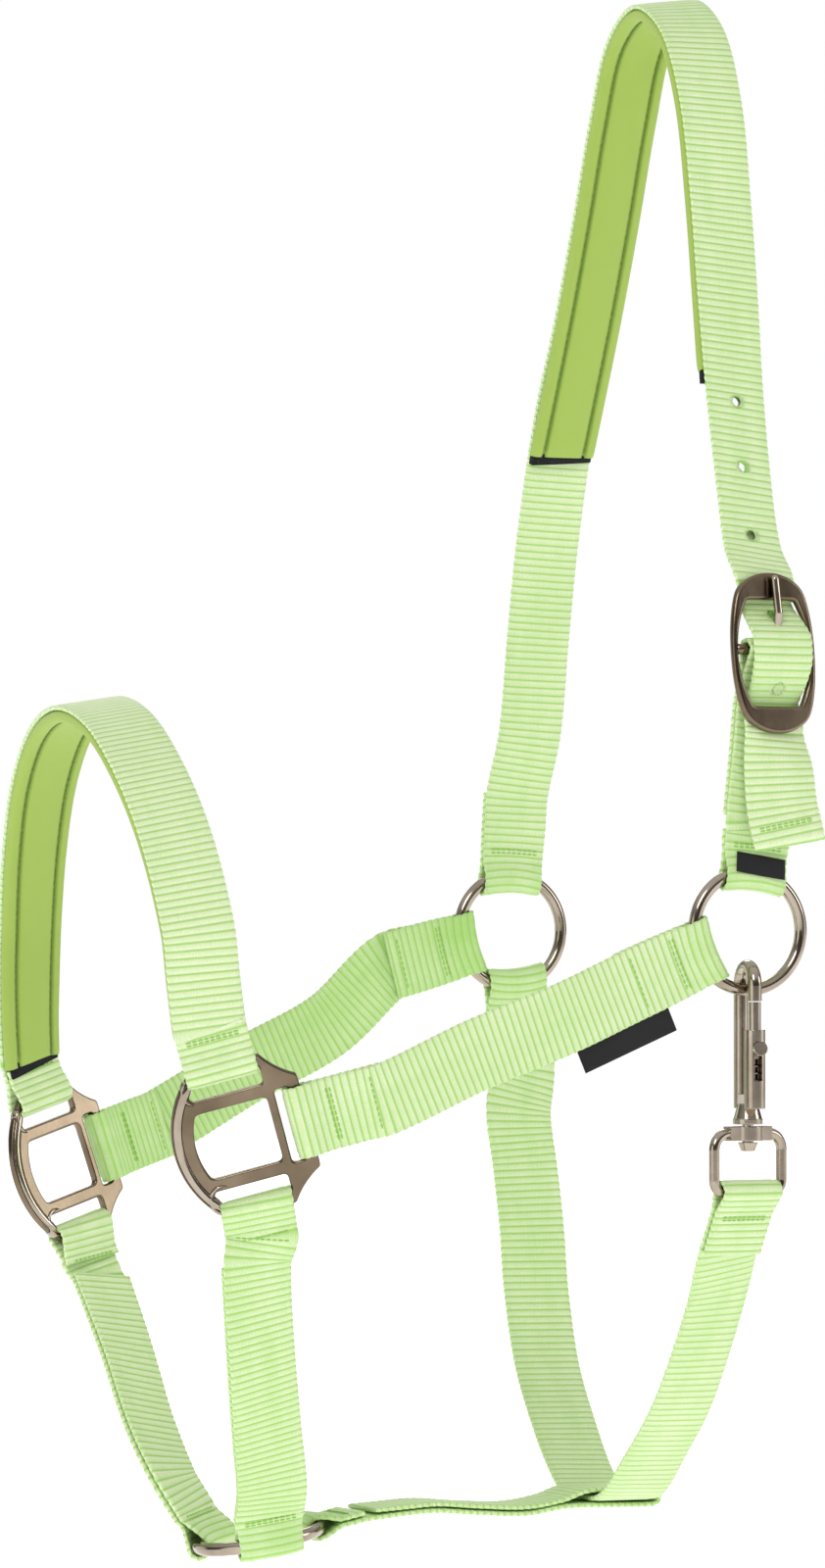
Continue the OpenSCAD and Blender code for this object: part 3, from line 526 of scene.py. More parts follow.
# Smoother copy of the smoked nickel whose lighter base colour is painted highlight.
POLISHED_NICKEL_WITH_PAINTED_HIGHLIGHT = metal_material("smoked_nickel_polished_painted_highlight", srgb(140, 128, 112), srgb(178, 166, 152), 0.08, 0.22, 0.15)
STEEL = metal_material("spring_steel", srgb(120, 120, 122), srgb(170, 170, 172), 0.2, 0.4, 0.3)


# ---- mesh helpers --------------------------------------------------------------------------
def new_object(name, verts, faces, material, smooth=True):
    mesh = bpy.data.meshes.new(name)
    mesh.from_pydata([tuple(v) for v in verts], [], [tuple(f) for f in faces])
    mesh.validate()
    mesh.materials.append(material)
    if smooth:
        mesh.polygons.foreach_set("use_smooth", [True] * len(mesh.polygons))
    ob = bpy.data.objects.new(name, mesh)
    bpy.context.scene.collection.objects.link(ob)
    return ob


def sweep_faces(m, n):
    """Side and end faces of m rings of n points."""
    faces = [(i * n + j, i * n + (j + 1) % n, (i + 1) * n + (j + 1) % n, (i + 1) * n + j)
             for i in range(m - 1) for j in range(n)]
    faces.append(tuple(range(n))[::-1])
    faces.append(tuple(range((m - 1) * n, m * n)))
    return faces


def with_weave(ob, weave):
    layer_ = ob.data.attributes.new("weave", "FLOAT_VECTOR", "POINT")
    layer_.data.foreach_set("vector", np.array(weave, np.float32).ravel())


RIB_STEPS = 8          # sections in one rib
FINE = 24              # spline steps between two route points
GROOVE_T = 1.5         # webbing thickness in the grooves
RIB_RISE = 0.22        # height of a rib on each face
BEAD_R = 0.95          # radius of the beaded selvedge
LANES = (-10.9, -10.0, -6.6, -3.3, 0.0, 3.3, 6.6, 10.0, 10.9)
BEAD_ANGLES = (62, 28, 0, -28, -62)


def webbing_section(phase):
    """Section points across and through the webbing at one phase of its ribs."""
    rise = abs(math.sin(math.pi * phase)) ** 0.55
    scallop = abs(math.sin(math.pi * (phase + 0.25))) ** 0.8
    h = GROOVE_T / 2 + RIB_RISE * rise
    bead = BEAD_R * (0.82 + 0.22 * scallop)
    centre = STRAP_W / 2 - BEAD_R + 0.12 * scallop
    valley = GROOVE_T / 2 * 0.92
    top = [(x, h if abs(x) < 10.5 else valley) for x in LANES]
    edge = [(centre + bead * math.cos(a), bead * math.sin(a)) for a in map(math.radians, BEAD_ANGLES)]
    return top + edge + [(-x, -y) for x, y in top] + [(-x, -y) for x, y in edge]


VISIBLE_NIP = 0.6      # share of the CAD's gathering that shows
CREASE_PAINTED_SHADE = 3.0     # how much painted shade a gathered crease gets


def webbing(name, control, nodes, shade=0.0, cut=None):
    """A ribbed strap along a list of route rows; shade is how much painted shade its colour gets."""
    R, _ = resample(spline(control, FINE), RIB / RIB_STEPS)
    _, wide, face, share = frames(R)
    verts, weave = [], []
    for i in range(len(R)):
        section = webbing_section((i % RIB_STEPS) / RIB_STEPS)
        gather = 1 - (1 - share[i]) * VISIBLE_NIP
        for x, y in section:
            s = x * 2 / STRAP_W
            verts.append((R[i, :3] + wide[i] * x * gather + face[i] * y + R[i, 6:] * s * s) * MM)
            # Third weave value: the strap's painted shade plus painted crease shade where the webbing
            # gathers.
            weave.append((i / RIB_STEPS, x, shade + CREASE_PAINTED_SHADE * (1 - share[i])))
    ob = new_object(name, verts, sweep_faces(len(R), len(section)), WEBBING)
    with_weave(ob, weave)
    for cutter in cut or []:
        boolean = ob.modifiers.new("hole", "BOOLEAN")
        boolean.operation = "DIFFERENCE"
        boolean.solver = "FAST"
        boolean.object = cutter
    if cut:
        apply_modifiers(ob)
        for cutter in cut:
            bpy.data.objects.remove(cutter)
    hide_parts(*nodes)
    return ob, R




def apply_modifiers(ob):
    depsgraph = bpy.context.evaluated_depsgraph_get()
    mesh = bpy.data.meshes.new_from_object(ob.evaluated_get(depsgraph), depsgraph=depsgraph)
    ob.modifiers.clear()
    ob.data = mesh


def route_at(R, i):
    """Position, heading, width, face and bow of a route at sample i."""
    head, wide, face, _ = frames(R[max(i - 2, 0):i + 3])
    k = min(2, i)
    return R[i, :3], head[k], wide[k], face[k], R[i, 6:]


THREAD_R = 0.3


def stitch_row(rows, spots, size, thread_r=THREAD_R):
    """Adds capsules that follow spots = [(centre, direction, up)] to a list of rings of points."""
    for centre, direction, up in spots:
        side = unit(np.cross(direction, up))
        verts = []
        for t, r in ((-0.5, 0.35), (-0.4, 0.85), (-0.15, 1.0), (0.15, 1.0), (0.4, 0.85), (0.5, 0.35)):
            lift = thread_r * 0.55 * math.cos(math.pi * t)
            for a in range(6):
                a = a * math.pi / 3
                verts.append(centre + direction * size * t + up * (lift + math.sin(a) * thread_r * r)
                             + side * math.cos(a) * thread_r * r)
        rows.append(verts)


def stitches(name, rows, material, body=NET):
    verts, faces = [], []
    for group in rows:
        base = len(verts)
        verts += [v * MM for v in group]
        faces += [tuple(base + k for k in f) for f in sweep_faces(len(group) // 6, 6)]
    ob = new_object(name, verts, faces, material)
    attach(ob, body)
    return ob


def cross_stitches(rows, R, i, side, width=20.5, step=2.1, off=GROOVE_T / 2 + 0.12):
    """A sewn line across a strap at sample i, on the face that side picks."""
    p, _, wide, face, bow = route_at(R, i)
    count = int(width / step)
    spots = []
    for k in range(count):
        x = (k - (count - 1) / 2) * step
        spots.append((p + wide * x + face * side * off + bow * (2 * x / STRAP_W) ** 2, wide, face * side))
    stitch_row(rows, spots, step * 0.85)


def sew_loop(rows, R, p, d, distances):
    """Sewn lines across both layers of a loop, at distances along d from its bar at p."""
    rel = R[:, :3] - p
    reach = rel @ unit(d)
    near = np.linalg.norm(rel, axis=1) < 50
    for distance in distances:
        hits = [i for i in range(len(R) - 1)
                if near[i] and (reach[i] - distance) * (reach[i + 1] - distance) <= 0]
        hits = [i for k, i in enumerate(hits) if k == 0 or i - hits[k - 1] > 4][:2]
        for i in hits:
            others = [j for j in hits if j != i]
            face = route_at(R, i)[3]
            sides = [float(np.sign((R[i, :3] - R[j, :3]) @ face)) for j in others] or [1.0, -1.0]
            for side in sides:
                cross_stitches(rows, R, i, side)


# ---- straps -------------------------------------------------------------------------------------
def hole_cutter(p, direction, r, length):
    bm = bmesh.new()
    bmesh.ops.create_cone(bm, cap_ends=True, segments=24, radius1=r * MM, radius2=r * MM, depth=length * MM)
    mesh = bpy.data.meshes.new("cutter")
    bm.to_mesh(mesh)
    bm.free()
    ob = bpy.data.objects.new("cutter", mesh)
    aim = Vector(direction).to_track_quat("Z", "Y").to_matrix().to_4x4()
    ob.matrix_world = Matrix.Translation(Vector(p) * MM) @ aim
    bpy.context.scene.collection.objects.link(ob)
    ob.hide_render = True
    return ob


HOLES = [np.array([2.1, -71, -136]), np.array([1.2, -78, -159.5]), np.array([0.6, -86.6, -184])]
TONGUE_HOLE = BUCKLE_C + buckle_v([0, -3.0, 13.0])
LOW_HOLE = BUCKLE_C + buckle_v([0, -0.4, -13.5])


def fuzz_ring(rows, R, p, r, seed):
    """Frayed yarn ends round a punched hole."""
    i = int(np.argmin(np.linalg.norm(R[:, :3] - p, axis=1)))
    _, head, wide, face, _ = route_at(R, i)
    rng = np.random.default_rng(seed)
    spots = []
    for k in range(26):
        a = 2 * math.pi * k / 26 + rng.uniform(-0.1, 0.1)
        out = wide * math.cos(a) + head * math.sin(a)
        spots.append((R[i, :3] + out * (r + rng.uniform(-0.3, 0.3)) + face * (GROOVE_T / 2 + 0.05),
                      unit(out + face * rng.uniform(0.1, 0.6)), unit(face - out * 0.3)))
    stitch_row(rows, spots, 0.9, 0.16)


def build_crown():
    cutters = [hole_cutter(p, (0.1, -1, 0.25), 1.9, 14) for p in HOLES]
    cutters.append(hole_cutter(TONGUE_HOLE, buckle_v([0, -1, 0.3]), 2.1, 11))
    cutters.append(hole_cutter(LOW_HOLE, buckle_v([0, -0.57, -0.82]), 1.8, 7))
    # shade=0.45 gives the crown strap painted shade.
    ob, R = webbing("crown_strap", crown_route[:-1], ["crown_strap"], shade=0.45, cut=cutters)
    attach(ob, NET)
    rows = []
    sew_loop(rows, R, FAR_RING + Z * RING_R, crown_d, RING_SEAMS)
    stitches("crown_loop_stitches", rows, THREAD)
    frays = []
    for k, p in enumerate(HOLES + [TONGUE_HOLE, LOW_HOLE]):
        fuzz_ring(frays, R, p, 2.2, k)
    stitches("crown_hole_frays", frays, THREAD)


RING_SEAMS = (8.4, 9.6)
PLATE_SEAMS = (10.4, 11.6)
HEM = ((0.9, 0.5), (1.2, 1.1), (0.9, 1.7), (0, 2.1), (-4, 2.1), (-7.5, 2.1))


def build_tail():
    end, before = tail_mid[-1], tail_mid[-2]
    d = unit(end[:3] - before[:3])
    w = unit(end[3:6])
    n = unit(np.cross(d, w))
    fold = [pt(end[:3] + d * a - n * b, w) for a, b in HEM]
    # shade=0.2 gives the tail painted shade.
    ob, R = webbing("crown_tail", crown_end[-2:] + tail_mid[2:] + fold, ["crown_tail"], shade=0.2)
    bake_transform(ob)
    i = int(np.argmin(np.linalg.norm(R[:, :3] - (end[:3] - d * 5.5), axis=1)))
    rows = []
    cross_stitches(rows, R, i, 1.0)
    cross_stitches(rows, R, i + 3, 1.0)
    stitches("crown_tail_stitches", rows, THREAD, body="tail")


def simple_strap(name, control, shade, loops=()):
    """A strap and the seams that close its loops; loops holds (bar, direction, seam distances); shade is its
    painted shade.
    """
    ob, R = webbing(name, control, [name], shade=shade)
    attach(ob, NET)
    rows = []
    for p, d, distances in loops:
        sew_loop(rows, R, np.asarray(p, float), d, distances)
    stitches(name + "_stitches", rows, THREAD)


def bar_of(side, offset):
    return PLATE_C[side] + plate_v(offset, side)


def cheek_loops(side, rise):
    d = np.array([-math.cos(math.radians(rise)), 0, -math.sin(math.radians(rise))])
    ring = NEAR_RING if side < 0 else FAR_RING
    return [(bar_of(side, [REAR_OFF, 0, 0]), plate_v(X, side), PLATE_SEAMS + (26.0,)),
            (ring + d * RING_R, d, RING_SEAMS + (26.0,))]


def chin_loops(side, a, w_end, lean):
    fall = flip(unit([0.25, -0.22, -0.93]), side)
    return [(bar_of(side, [SLOT_X, 0, -BAR_OFF]), fall, PLATE_SEAMS),
            (chin_point(a), square_to(lean, w_end), (9.4, 10.6))]


def build_straps():
    nose_loops = [(bar_of(side, nose_off), plate_v(Z, side), PLATE_SEAMS) for side in (-1, 1)]
    # The number after each route is that strap's painted shade, highest on the far cheek strap.
    simple_strap("noseband_strap", nose_route, 0.25, nose_loops)
    simple_strap("near_cheek_strap", near_cheek, 0.45, cheek_loops(-1, NEAR_CHEEK_A))
    simple_strap("far_cheek_strap", far_cheek, 1.2, cheek_loops(1, FAR_CHEEK_A))
    simple_strap("near_chin_strap", near_chin, 0.65,
                 chin_loops(-1, -101.6, chin_tangent(-101.6), [-0.13, -0.4, 0.92]))
    simple_strap("far_chin_strap", far_chin, 0.3, chin_loops(1, 128, -chin_tangent(128), [-0.1, 0.4, 0.92]))
    simple_strap("throat_strap", throat_route, 0.6, [
        (FAR_RING + turn("Y", THROAT_TURN, -Z) * RING_R, throat_d, RING_SEAMS), (d_bar, d_d, (9.0, 10.2))])
    simple_strap("jaw_strap", jaw_route, 0.8, [(chin_point(0), jaw_d, (8.6, 9.8))])
    simple_strap("billet_strap", billet_route, 0.5, [
        (NEAR_RING + billet_d * RING_R, billet_d, RING_SEAMS), (BUCKLE_C, buckle_v(billet_top), (9.0,))])


# ---- pads ------------------------------------------------------------------------------------------
PAD_TOP = -(STRAP_T / 2 + 0.1)
PAD_LOW = -(STRAP_T / 2 + 2 * LAYER_GAP + FOAM_T + LINING_T)
SEAM_X = 8.0           # seams run this far from the pad's middle


def pad_section(s, swell):
    """The cushion's outline across the strap at length s; swell is 0 at its ends, 1 between."""
    pucker = 0.14 * math.sin(2 * math.pi * s / 3.1) + 0.08 * math.sin(2 * math.pi * s / 4.7 + 1)
    low = PAD_LOW + 0.5 * (1 - swell)
    half = [(0.0, low - 0.1 * swell), (3.5, low - 0.06 * swell), (6.6, low + 0.16),
            (SEAM_X - 0.35, low + 0.75 + pucker),
            (SEAM_X + 0.35, low + 0.75 + pucker), (9.5, low + 0.22), (10.9, low + 0.2), (12.1, low + 0.8),
            (12.75, low + 1.9), (12.6, PAD_TOP - 1.2), (12.2, PAD_TOP - 0.35), (11.2, PAD_TOP)]
    left = [(-x, y) for x, y in half[1:]][::-1]
    return left + half


def build_pad(name, dense, foam_node, lining_node):
    R, at = resample(dense, 0.8)
    head, wide, face, _ = frames(R)
    verts, weave = [], []
    length = at[-1]
    for i, s in enumerate(at):
        swell = min(1.0, s / 5, (length - s) / 5) ** 0.5
        for x, y in pad_section(s, swell):
            slant = 1.2 * x / STRAP_W * (1 - swell)
            verts.append((R[i, :3] + wide[i] * x + face[i] * y + head[i] * slant) * MM)
            seam = 0.85 if abs(abs(x) - SEAM_X) < 0.5 and y < PAD_LOW + 2 else 0.0
            weave.append((s, x, seam))
    n = len(pad_section(0, 1))
    lining = new_object(lining_node, verts, sweep_faces(len(R), n), LINING)
    with_weave(lining, weave)
    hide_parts(lining_node)
    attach(lining, NET)
    core = []
    section = [(-11.9, PAD_TOP - 0.3), (11.9, PAD_TOP - 0.3), (12.0, PAD_TOP - 1.6), (11.6, PAD_LOW + 1.3),
               (0, PAD_LOW + 1.0), (-11.6, PAD_LOW + 1.3), (-12.0, PAD_TOP - 1.6)]
    for i in range(len(R)):
        for x, y in section:
            out = (1 if i == len(R) - 1 else -1 if i == 0 else 0) * (1.2 + 0.12 * (12 - x))
            core.append((R[i, :3] + wide[i] * x + face[i] * y + head[i] * out) * MM)
    foam = new_object(foam_node, core, sweep_faces(len(R), len(section)), FOAM)
    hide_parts(foam_node)
    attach(foam, NET)
    rows = []
    for x in (-SEAM_X, SEAM_X):
        spots = []
        for i in range(4, len(R) - 4, 3):
            spots.append((R[i, :3] + wide[i] * x + face[i] * (PAD_LOW + 0.55), head[i], -face[i]))
        stitch_row(rows, spots, 1.9, 0.22)
    stitches(name + "_seams", rows, DARK_THREAD)


# ---- cast hardware ---------------------------------------------------------------------------------
def arc(centre, r, start, stop, count=24):
    """Points on a circle from one angle to another, in degrees."""
    return [np.array([centre[0] + r * math.cos(a), centre[1] + r * math.sin(a)])
            for a in np.radians(np.linspace(start, stop, count))]


def rounded(points, r, steps=5):
    """The polygon with each real corner replaced by a small curve."""
    points = [np.asarray(p, float) for p in points]
    out = []
    for i, p in enumerate(points):
        a, b = points[i - 1] - p, points[(i + 1) % len(points)] - p
        la, lb = np.linalg.norm(a), np.linalg.norm(b)
        if la < 1e-6 or lb < 1e-6:
            continue
        if (a @ b) / (la * lb) < -0.94:
            out.append(p)
            continue
        start, stop = p + a * min(r, la / 2) / la, p + b * min(r, lb / 2) / lb
        for t in np.linspace(0, 1, steps):
            out.append(start * (1 - t) ** 2 + 2 * p * t * (1 - t) + stop * t * t)
    return out


def area_of(points):
    x, y = np.array(points).T
    return 0.5 * float(np.sum(x * np.roll(y, -1) - y * np.roll(x, -1)))


def outward(points):
    """Unit normals that point out of a counter-clockwise polygon."""
    P = np.array(points)
    e = np.roll(P, -1, axis=0) - P
    n = np.stack([e[:, 1], -e[:, 0]], 1)
    n /= np.linalg.norm(n, axis=1)[:, None]
    m = n + np.roll(n, 1, axis=0)
    return m / np.linalg.norm(m, axis=1)[:, None]


def cast_sheet(name, outline, holes, thickness, bevel, matrix):
    """A flat casting with rounded edges: an outline with holes, both as lists of points."""
    loops = [outline if area_of(outline) > 0 else outline[::-1]]
    loops += [h if area_of(h) < 0 else h[::-1] for h in holes]
    profile = [(bevel * (1 - math.sin(a)), thickness / 2 - bevel * (1 - math.cos(a)))
               for a in np.radians([0, 22.5, 45, 67.5, 90])]
    profile += [(inset, -z) for inset, z in profile[::-1]]
    verts, faces, caps = [], [], []
    for points in loops:
        P, n = np.array(points), outward(points)
        base, count = len(verts), len(points)
        for inset, z in profile:
            verts += [(*(p - q * inset), z) for p, q in zip(P, n)]
        for k in range(len(profile) - 1):
            for j in range(count):
                a, b = base + k * count + j, base + k * count + (j + 1) % count
                faces.append((a + count, b + count, b, a))
        caps.append((base, count))
    walls = len(faces)
    for level, flip_ in ((0, False), (len(profile) - 1, True)):
        index = [base + level * count + j for base, count in caps for j in range(count)]
        polygons = [[Vector(verts[base + level * count + j]) for j in range(count)] for base, count in caps]
        for tri in tessellate_polygon(polygons):
            tri = [index[t] for t in tri]
            a, b, c = (Vector(verts[t]) for t in tri)
            up = (b - a).cross(c - a).z > 0
            faces.append(tuple(tri if up != flip_ else tri[::-1]))
    placed = [tuple(matrix @ Vector(v) * MM) for v in verts]
    # Castings take the dark nickel, with painted dark reflection in its base colour.
    ob = new_object(name, placed, faces, DARK_NICKEL_WITH_PAINTED_REFLECTION, smooth=False)
    ob.data.polygons.foreach_set("use_smooth", [i < walls for i in range(len(ob.data.polygons))])
    return ob


def place(origin, right, up):
    """A matrix that puts drawn x along right and drawn y along up."""
    out = np.cross(right, up)
    m = Matrix.Identity(4)
    for k in range(3):
        m[k][0], m[k][1], m[k][2], m[k][3] = right[k], up[k], out[k], origin[k]
    return m


def bead(points, radii, matrix, depth=0.0, sides=12):
    """Points and faces of a tapering round bead along drawn points."""
    P = [np.array([*p, depth]) for p in points]
    verts = []
    for i, (p, r) in enumerate(zip(P, radii)):
        t = unit(P[min(i + 1, len(P) - 1)] - P[max(i - 1, 0)])
        side = np.array([t[1], -t[0], 0])
        for k in range(sides):
            a = 2 * math.pi * k / sides
            v = p + side * r[0] * math.cos(a) + Z * r[1] * math.sin(a)
            verts.append(tuple(matrix @ Vector(v) * MM))
    return verts, sweep_faces(len(P), sides)


def joined(ob, extra):
    """Adds the points and faces of beads to an object's mesh."""
    bm = bmesh.new()
    bm.from_mesh(ob.data)
    for verts, faces in extra:
        made = [bm.verts.new(v) for v in verts]
        for f in faces:
            face = bm.faces.new([made[k] for k in f])
            face.smooth = True
            face.material_index = len(ob.data.materials) - 1
    bm.normal_update()
    bm.to_mesh(ob.data)
    bm.free()


FRONT_R, FRONT_X, WINDOW_R = 34.3, 11.8, 26.4
EAR_R, EAR_AT, REAR_X = 29.0, (38.5, 42.5), 25.3


def box_points(cx, cy, w, h):
    return [(cx + i * w / 2, cy + j * h / 2) for i, j in ((-1, -1), (1, -1), (1, 1), (-1, 1))]


def plate_outline():
    spread = 180 - math.degrees(math.asin(PLATE_HALF_Z / FRONT_R))
    front = arc((FRONT_X, 0), FRONT_R, spread, 360 - spread, 48)
    drop = math.degrees(math.asin((EAR_AT[1] - PLATE_HALF_Z) / EAR_R))
    back = math.degrees(math.acos((EAR_AT[0] - REAR_X) / EAR_R))
    low = arc((EAR_AT[0], -EAR_AT[1]), EAR_R, 180 - drop, 180 - back, 14)
    high = [np.array([p[0], -p[1]]) for p in low[::-1]]
    return rounded(front + low + high, 2.2)


def plate_holes():
    half = math.degrees(math.asin(11.5 / WINDOW_R))
    window = arc((FRONT_X, 0), WINDOW_R, 180 - half, 180 + half, 12) + [(13.3, -11.5), (13.3, 11.5)]
    slots = [box_points(SLOT_X, s * 19.5, 26, 6.6) for s in (-1, 1)]
    return [rounded(window, 2.0), *(rounded(s, 1.6) for s in slots), rounded(box_points(18.7, 0, 5, 26), 1.3)]


def build_plate(name, side):
    matrix = place(PLATE_C[side], plate_v(X, side), plate_v(Z, side))
    ob = cast_sheet(name, plate_outline(), plate_holes(), PLATE_T, 0.75, matrix)
    sweep = arc((FRONT_X, 0), FRONT_R - 2.2, 128, 232, 40)
    fade = [min(1.0, k / 5, (39 - k) / 5) for k in range(40)]
    rim = bead(sweep, [(2.1 * (0.35 + 0.65 * f), 2.1 * (0.45 + 0.55 * f)) for f in fade], matrix)
    extra = [rim]
    for centre, start, stop in (((-9.6, -19.5), 62, 298), ((-9.6, 19.5), 110, 250)):
        path = arc(centre, 4.9, start, stop, 20)
        lip = [min(1.0, (k + 0.6) / 4, (19.6 - k) / 4) for k in range(20)]
        extra.append(bead(path, [(0.85 * f, 1.9 * (0.6 + 0.4 * f)) for f in lip], matrix))
    # The rim and slot-lip beads take the lighter nickel: painted highlight along the rims.
    ob.data.materials.append(POLISHED_NICKEL_WITH_PAINTED_HIGHLIGHT)
    joined(ob, extra)
    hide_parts(name)
    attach(ob, NET)


SIDE_BULGE, END_R, OPEN_R, OPEN_X, OPEN_HALF = 60.0, 20.0, 37.0, 21.5, 18.75
BLEND = 14             # how sharply the buckle's sides turn into its ends


def build_buckle():
    heights = [BUCKLE_L / 2 * math.sin(a) for a in np.radians(np.linspace(-90, 90, 61))]
    right = []
    for z in heights:
        bulge = math.sqrt((SIDE_BULGE + BUCKLE_W / 2) ** 2 - z * z) - SIDE_BULGE
        cap = math.sqrt(max(0.0, END_R ** 2 - max(0.0, abs(z) - (BUCKLE_L / 2 - END_R)) ** 2))
        soft = max(bulge, 0.01) ** -BLEND + max(cap, 0.01) ** -BLEND
        right.append(np.array([soft ** (-1 / BLEND), z]))
    outline = rounded(right[1:-1] + [np.array([-p[0], p[1]]) for p in right[1:-1][::-1]], 1.5)
    inner = [np.array([math.sqrt(OPEN_R ** 2 - z * z) - OPEN_X, z])
             for z in np.linspace(-OPEN_HALF, OPEN_HALF, 25)]
    hole = rounded(inner + [np.array([-p[0], p[1]]) for p in inner[::-1]], 2.0)
    centre = BUCKLE_C + buckle_v([-0.6, 0, -1.2])
    matrix = place(centre, buckle_v(X), buckle_v(Z))
    ob = cast_sheet("buckle_frame", outline, [hole], BUCKLE_T, 1.15, matrix)
    bar = [(x, 1.2) for x in np.linspace(-16.2, 16.2, 12)]
    joined(ob, [bead(bar, [(BUCKLE_BAR, BUCKLE_BAR)] * 12, matrix, sides=20)])
    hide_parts("buckle_frame")
    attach(ob, NET)


# ---- labels --------------------------------------------------------------------------------------------
def build_label(name, centre, right, up, width, height, curl, body, material=LABEL):
    """A woven label: a thin curved cloth with two faces and closed edges."""
    out = unit(np.cross(right, up))
    nx, nz = 24, 8
    verts, faces = [], []
    for side in (1, -1):
        for i in range(nx + 1):
            for j in range(nz + 1):
                u, v = i / nx - 0.5, j / nz - 0.5
                lift = curl * (0.25 - u * u) * 4 + 0.12 * math.sin(5 * u + 3 * v)
                verts.append((centre + right * u * width + up * v * height + out * (lift + side * 0.16)) * MM)
    n = (nx + 1) * (nz + 1)
    for i in range(nx):
        for j in range(nz):
            a = i * (nz + 1) + j
            quad = (a, a + nz + 1, a + nz + 2, a + 1)
            faces += [quad, tuple(n + k for k in quad[::-1])]
    rim = [i * (nz + 1) for i in range(nx + 1)] + [nx * (nz + 1) + j for j in range(1, nz + 1)]
    rim += [i * (nz + 1) + nz for i in range(nx - 1, -1, -1)] + list(range(nz - 1, 0, -1))
    for a, b in zip(rim, rim[1:] + rim[:1]):
        faces.append((b, a, n + a, n + b))
    ob = new_object(name, verts, faces, material)
    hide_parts(name)
    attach(ob, body)
    return ob


def build_labels():
    right = turn("Y", -NEAR_CHEEK_A, X)
    up = turn("Y", -NEAR_CHEEK_A, Z)
    centre = np.array([-54, -99.9, -362.4]) + up * 1.8
    maker = build_label("maker_label", centre, right, up, 38.0, 10.2, 0.25, "label_flap")
    right = turn("X", -16, turn("Y", 10, X))
    up = turn("X", -16, turn("Y", 10, Z))
    build_label("size_label", np.array([-4.3, -103.8, -300.6]), right, up, 18.5, 7.4, -0.1, NET)


def finish_node(node, material):
    """Gives a CAD node that stays in view its own material."""
    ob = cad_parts[node]
    ob.data.materials.clear()
    ob.data.materials.append(material)


# ---- stage, light and camera --------------------------------------------------------------------------
FLOOR_Z = -0.72
CAMERA_AZ, CAMERA_EL, CAMERA_D = -24.0, -1.0, 3.0
SOFTBOXES = ((-50, 1.5), (95, 1.3), (-125, 1.1))   # bright panels: degrees from the camera, strength


def build_stage():
    m = Nodes("pale_floor")
    at = m.add("ShaderNodeTexCoord").outputs["Object"]
    m.set(Base_Color=m.mix(m.noise(at, 8.0), (0.93, 0.93, 0.93, 1), (0.96, 0.96, 0.96, 1)), Roughness=0.9,
          Specular_IOR_Level=0.0, Emission_Color=(1, 1, 1, 1), Emission_Strength=0.62)
    size = 12.0
    floor = new_object("floor", [(-size, -size, FLOOR_Z), (size, -size, FLOOR_Z), (size, size, FLOOR_Z),
                                 (-size, size, FLOOR_Z)], [(0, 1, 2, 3)], m.material, smooth=False)
    world = bpy.data.worlds.new("studio")
    world.use_nodes = True
    tree = world.node_tree
    sky = tree.nodes["Background"]
    coordinate = tree.nodes.new("ShaderNodeTexCoord")
    split = tree.nodes.new("ShaderNodeSeparateXYZ")
    ramp = tree.nodes.new("ShaderNodeValToRGB")
    stops = ((0.0, 0.45), (0.47, 0.4), (0.53, 0.06), (0.66, 0.16), (0.8, 0.75), (1.0, 0.9))
    while len(ramp.color_ramp.elements) < len(stops):
        ramp.color_ramp.elements.new(0.5)
    for element, (position, level) in zip(ramp.color_ramp.elements, stops):
        element.position = position
        element.color = (level, level, level, 1)
    height = tree.nodes.new("ShaderNodeMath")
    height.operation = "MULTIPLY_ADD"
    height.inputs[1].default_value = 0.5
    height.inputs[2].default_value = 0.5
    glow = ramp.outputs[0]
    for turn_, power in SOFTBOXES:
        angle = math.radians(CAMERA_AZ + turn_)
        facing = tree.nodes.new("ShaderNodeVectorMath")
        facing.operation = "DOT_PRODUCT"
        facing.inputs[1].default_value = (math.sin(angle), -math.cos(angle), 0)
        tree.links.new(coordinate.outputs["Generated"], facing.inputs[0])
        spot = tree.nodes.new("ShaderNodeMapRange")
        spot.interpolation_type = "SMOOTHSTEP"
        for k, value in enumerate((0.9, 0.975, 0, power)):
            spot.inputs[k + 1].default_value = value
        tree.links.new(facing.outputs["Value"], spot.inputs[0])
        total = tree.nodes.new("ShaderNodeMath")
        tree.links.new(glow, total.inputs[0])
        tree.links.new(spot.outputs[0], total.inputs[1])
        glow = total.outputs[0]
    path = tree.nodes.new("ShaderNodeLightPath")
    mix = tree.nodes.new("ShaderNodeMix")
    mix.data_type = "RGBA"
    mix.inputs[7].default_value = (1, 1, 1, 1)
    tree.links.new(coordinate.outputs["Generated"], split.inputs[0])
    tree.links.new(split.outputs[2], height.inputs[0])
    tree.links.new(height.outputs[0], ramp.inputs[0])
    tree.links.new(path.outputs["Is Camera Ray"], mix.inputs[0])
    tree.links.new(glow, mix.inputs[6])
    tree.links.new(mix.outputs[2], sky.inputs[0])
    sky.inputs[1].default_value = 1.0
    bpy.context.scene.world = world


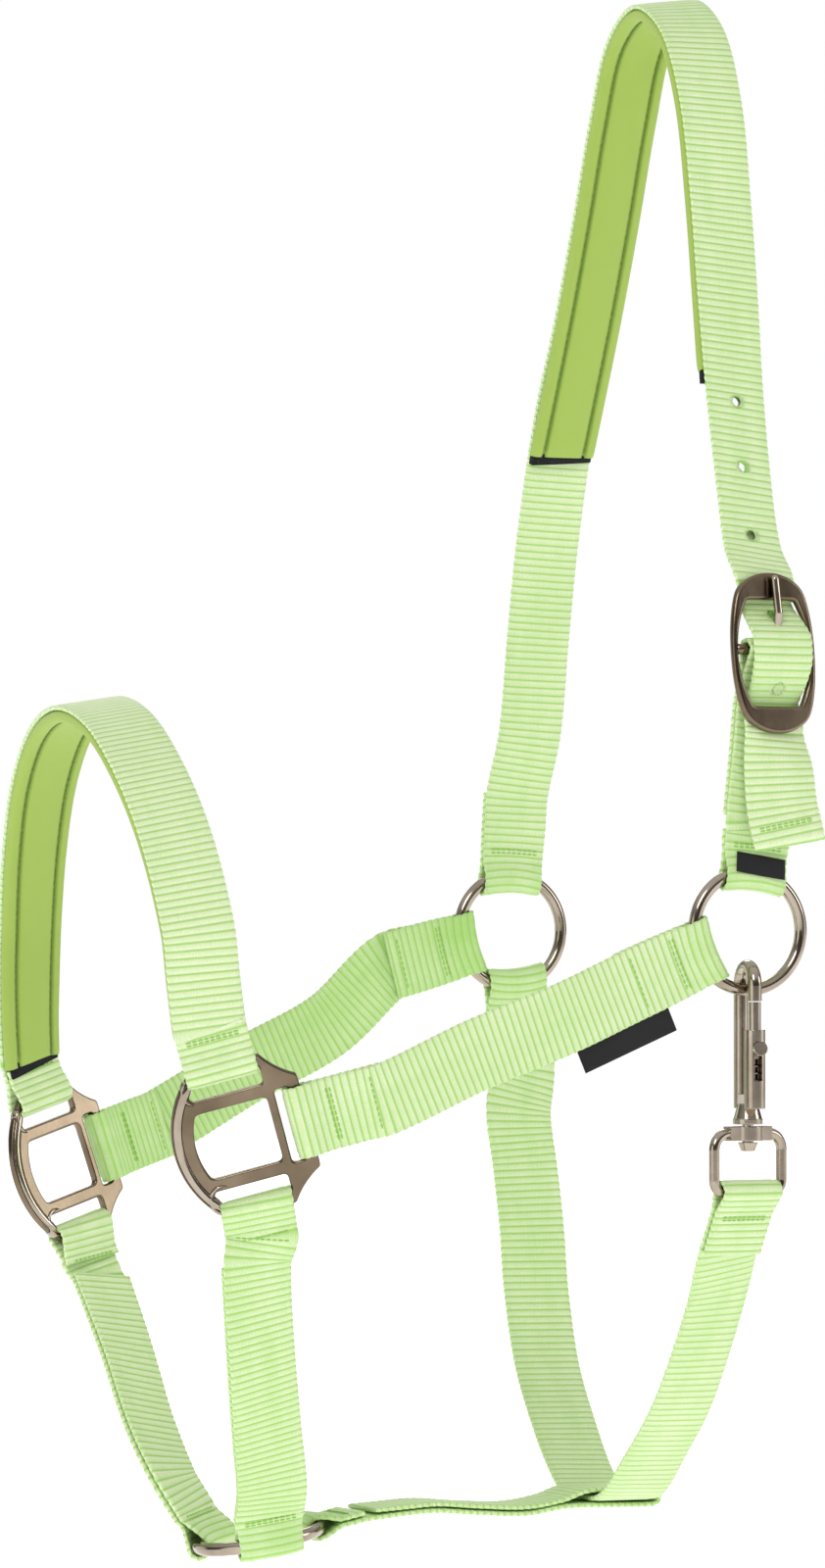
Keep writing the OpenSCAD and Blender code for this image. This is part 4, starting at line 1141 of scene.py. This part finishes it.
def area_light(name, location, target, size, power, colour=(1, 1, 1)):
    light = bpy.data.lights.new(name, "AREA")
    light.shape = "DISK"
    light.size = size
    light.energy = power
    light.color = colour
    ob = bpy.data.objects.new(name, light)
    ob.location = location
    ob.rotation_euler = (Vector(target) - Vector(location)).to_track_quat("-Z", "Y").to_euler()
    bpy.context.scene.collection.objects.link(ob)


AIM = Vector((-0.0915, 0.0, -0.271))
LENS = 193.0


def build_camera():
    az, el = math.radians(CAMERA_AZ), math.radians(CAMERA_EL)
    back = Vector((math.sin(az) * math.cos(el), -math.cos(az) * math.cos(el), math.sin(el)))
    camera = bpy.data.cameras.new("camera")
    camera.lens = LENS
    camera.sensor_width = 36
    camera.clip_end = 60
    ob = bpy.data.objects.new("camera", camera)
    ob.location = AIM + back * CAMERA_D
    ob.rotation_euler = back.to_track_quat("Z", "Y").to_euler()
    bpy.context.scene.collection.objects.link(ob)
    bpy.context.scene.camera = ob


# ---- run ------------------------------------------------------------------------------------------
build_crown()
build_tail()
build_straps()
nose_dense = spline(nose_route, FINE)
pad_start = 12 * FINE + FINE // 2      # past the twelve rows of each end loop
build_pad("crown_pad", spline(crown_pad_mid, FINE), "crown_pad_foam", "crown_pad_lining")
build_pad("nose_pad", nose_dense[pad_start:len(nose_dense) - pad_start], "nose_pad_foam", "nose_pad_lining")
build_plate("near_side_plate", -1)
build_plate("far_side_plate", 1)
build_buckle()
build_labels()
# Rings, tongue, snap and swivel take the lighter nickel, with painted highlight in its base colour.
for node in ("near_ring", "far_ring", "chin_ring", "buckle_tongue", "snap_body", "snap_bolt", "swivel_loop"):
    finish_node(node, POLISHED_NICKEL_WITH_PAINTED_HIGHLIGHT)
finish_node("snap_spring", STEEL)
build_stage()
area_light("key", (-1.6, -2.0, 1.4), (-0.1, 0, -0.25), 1.2, 23)
area_light("side", (2.2, -1.2, 0.5), (-0.1, 0, -0.3), 1.0, 9)
area_light("rim", (0.6, 2.2, 1.2), (-0.1, 0, -0.25), 1.0, 10)
build_camera()
bpy.context.scene.view_settings.view_transform = "Standard"
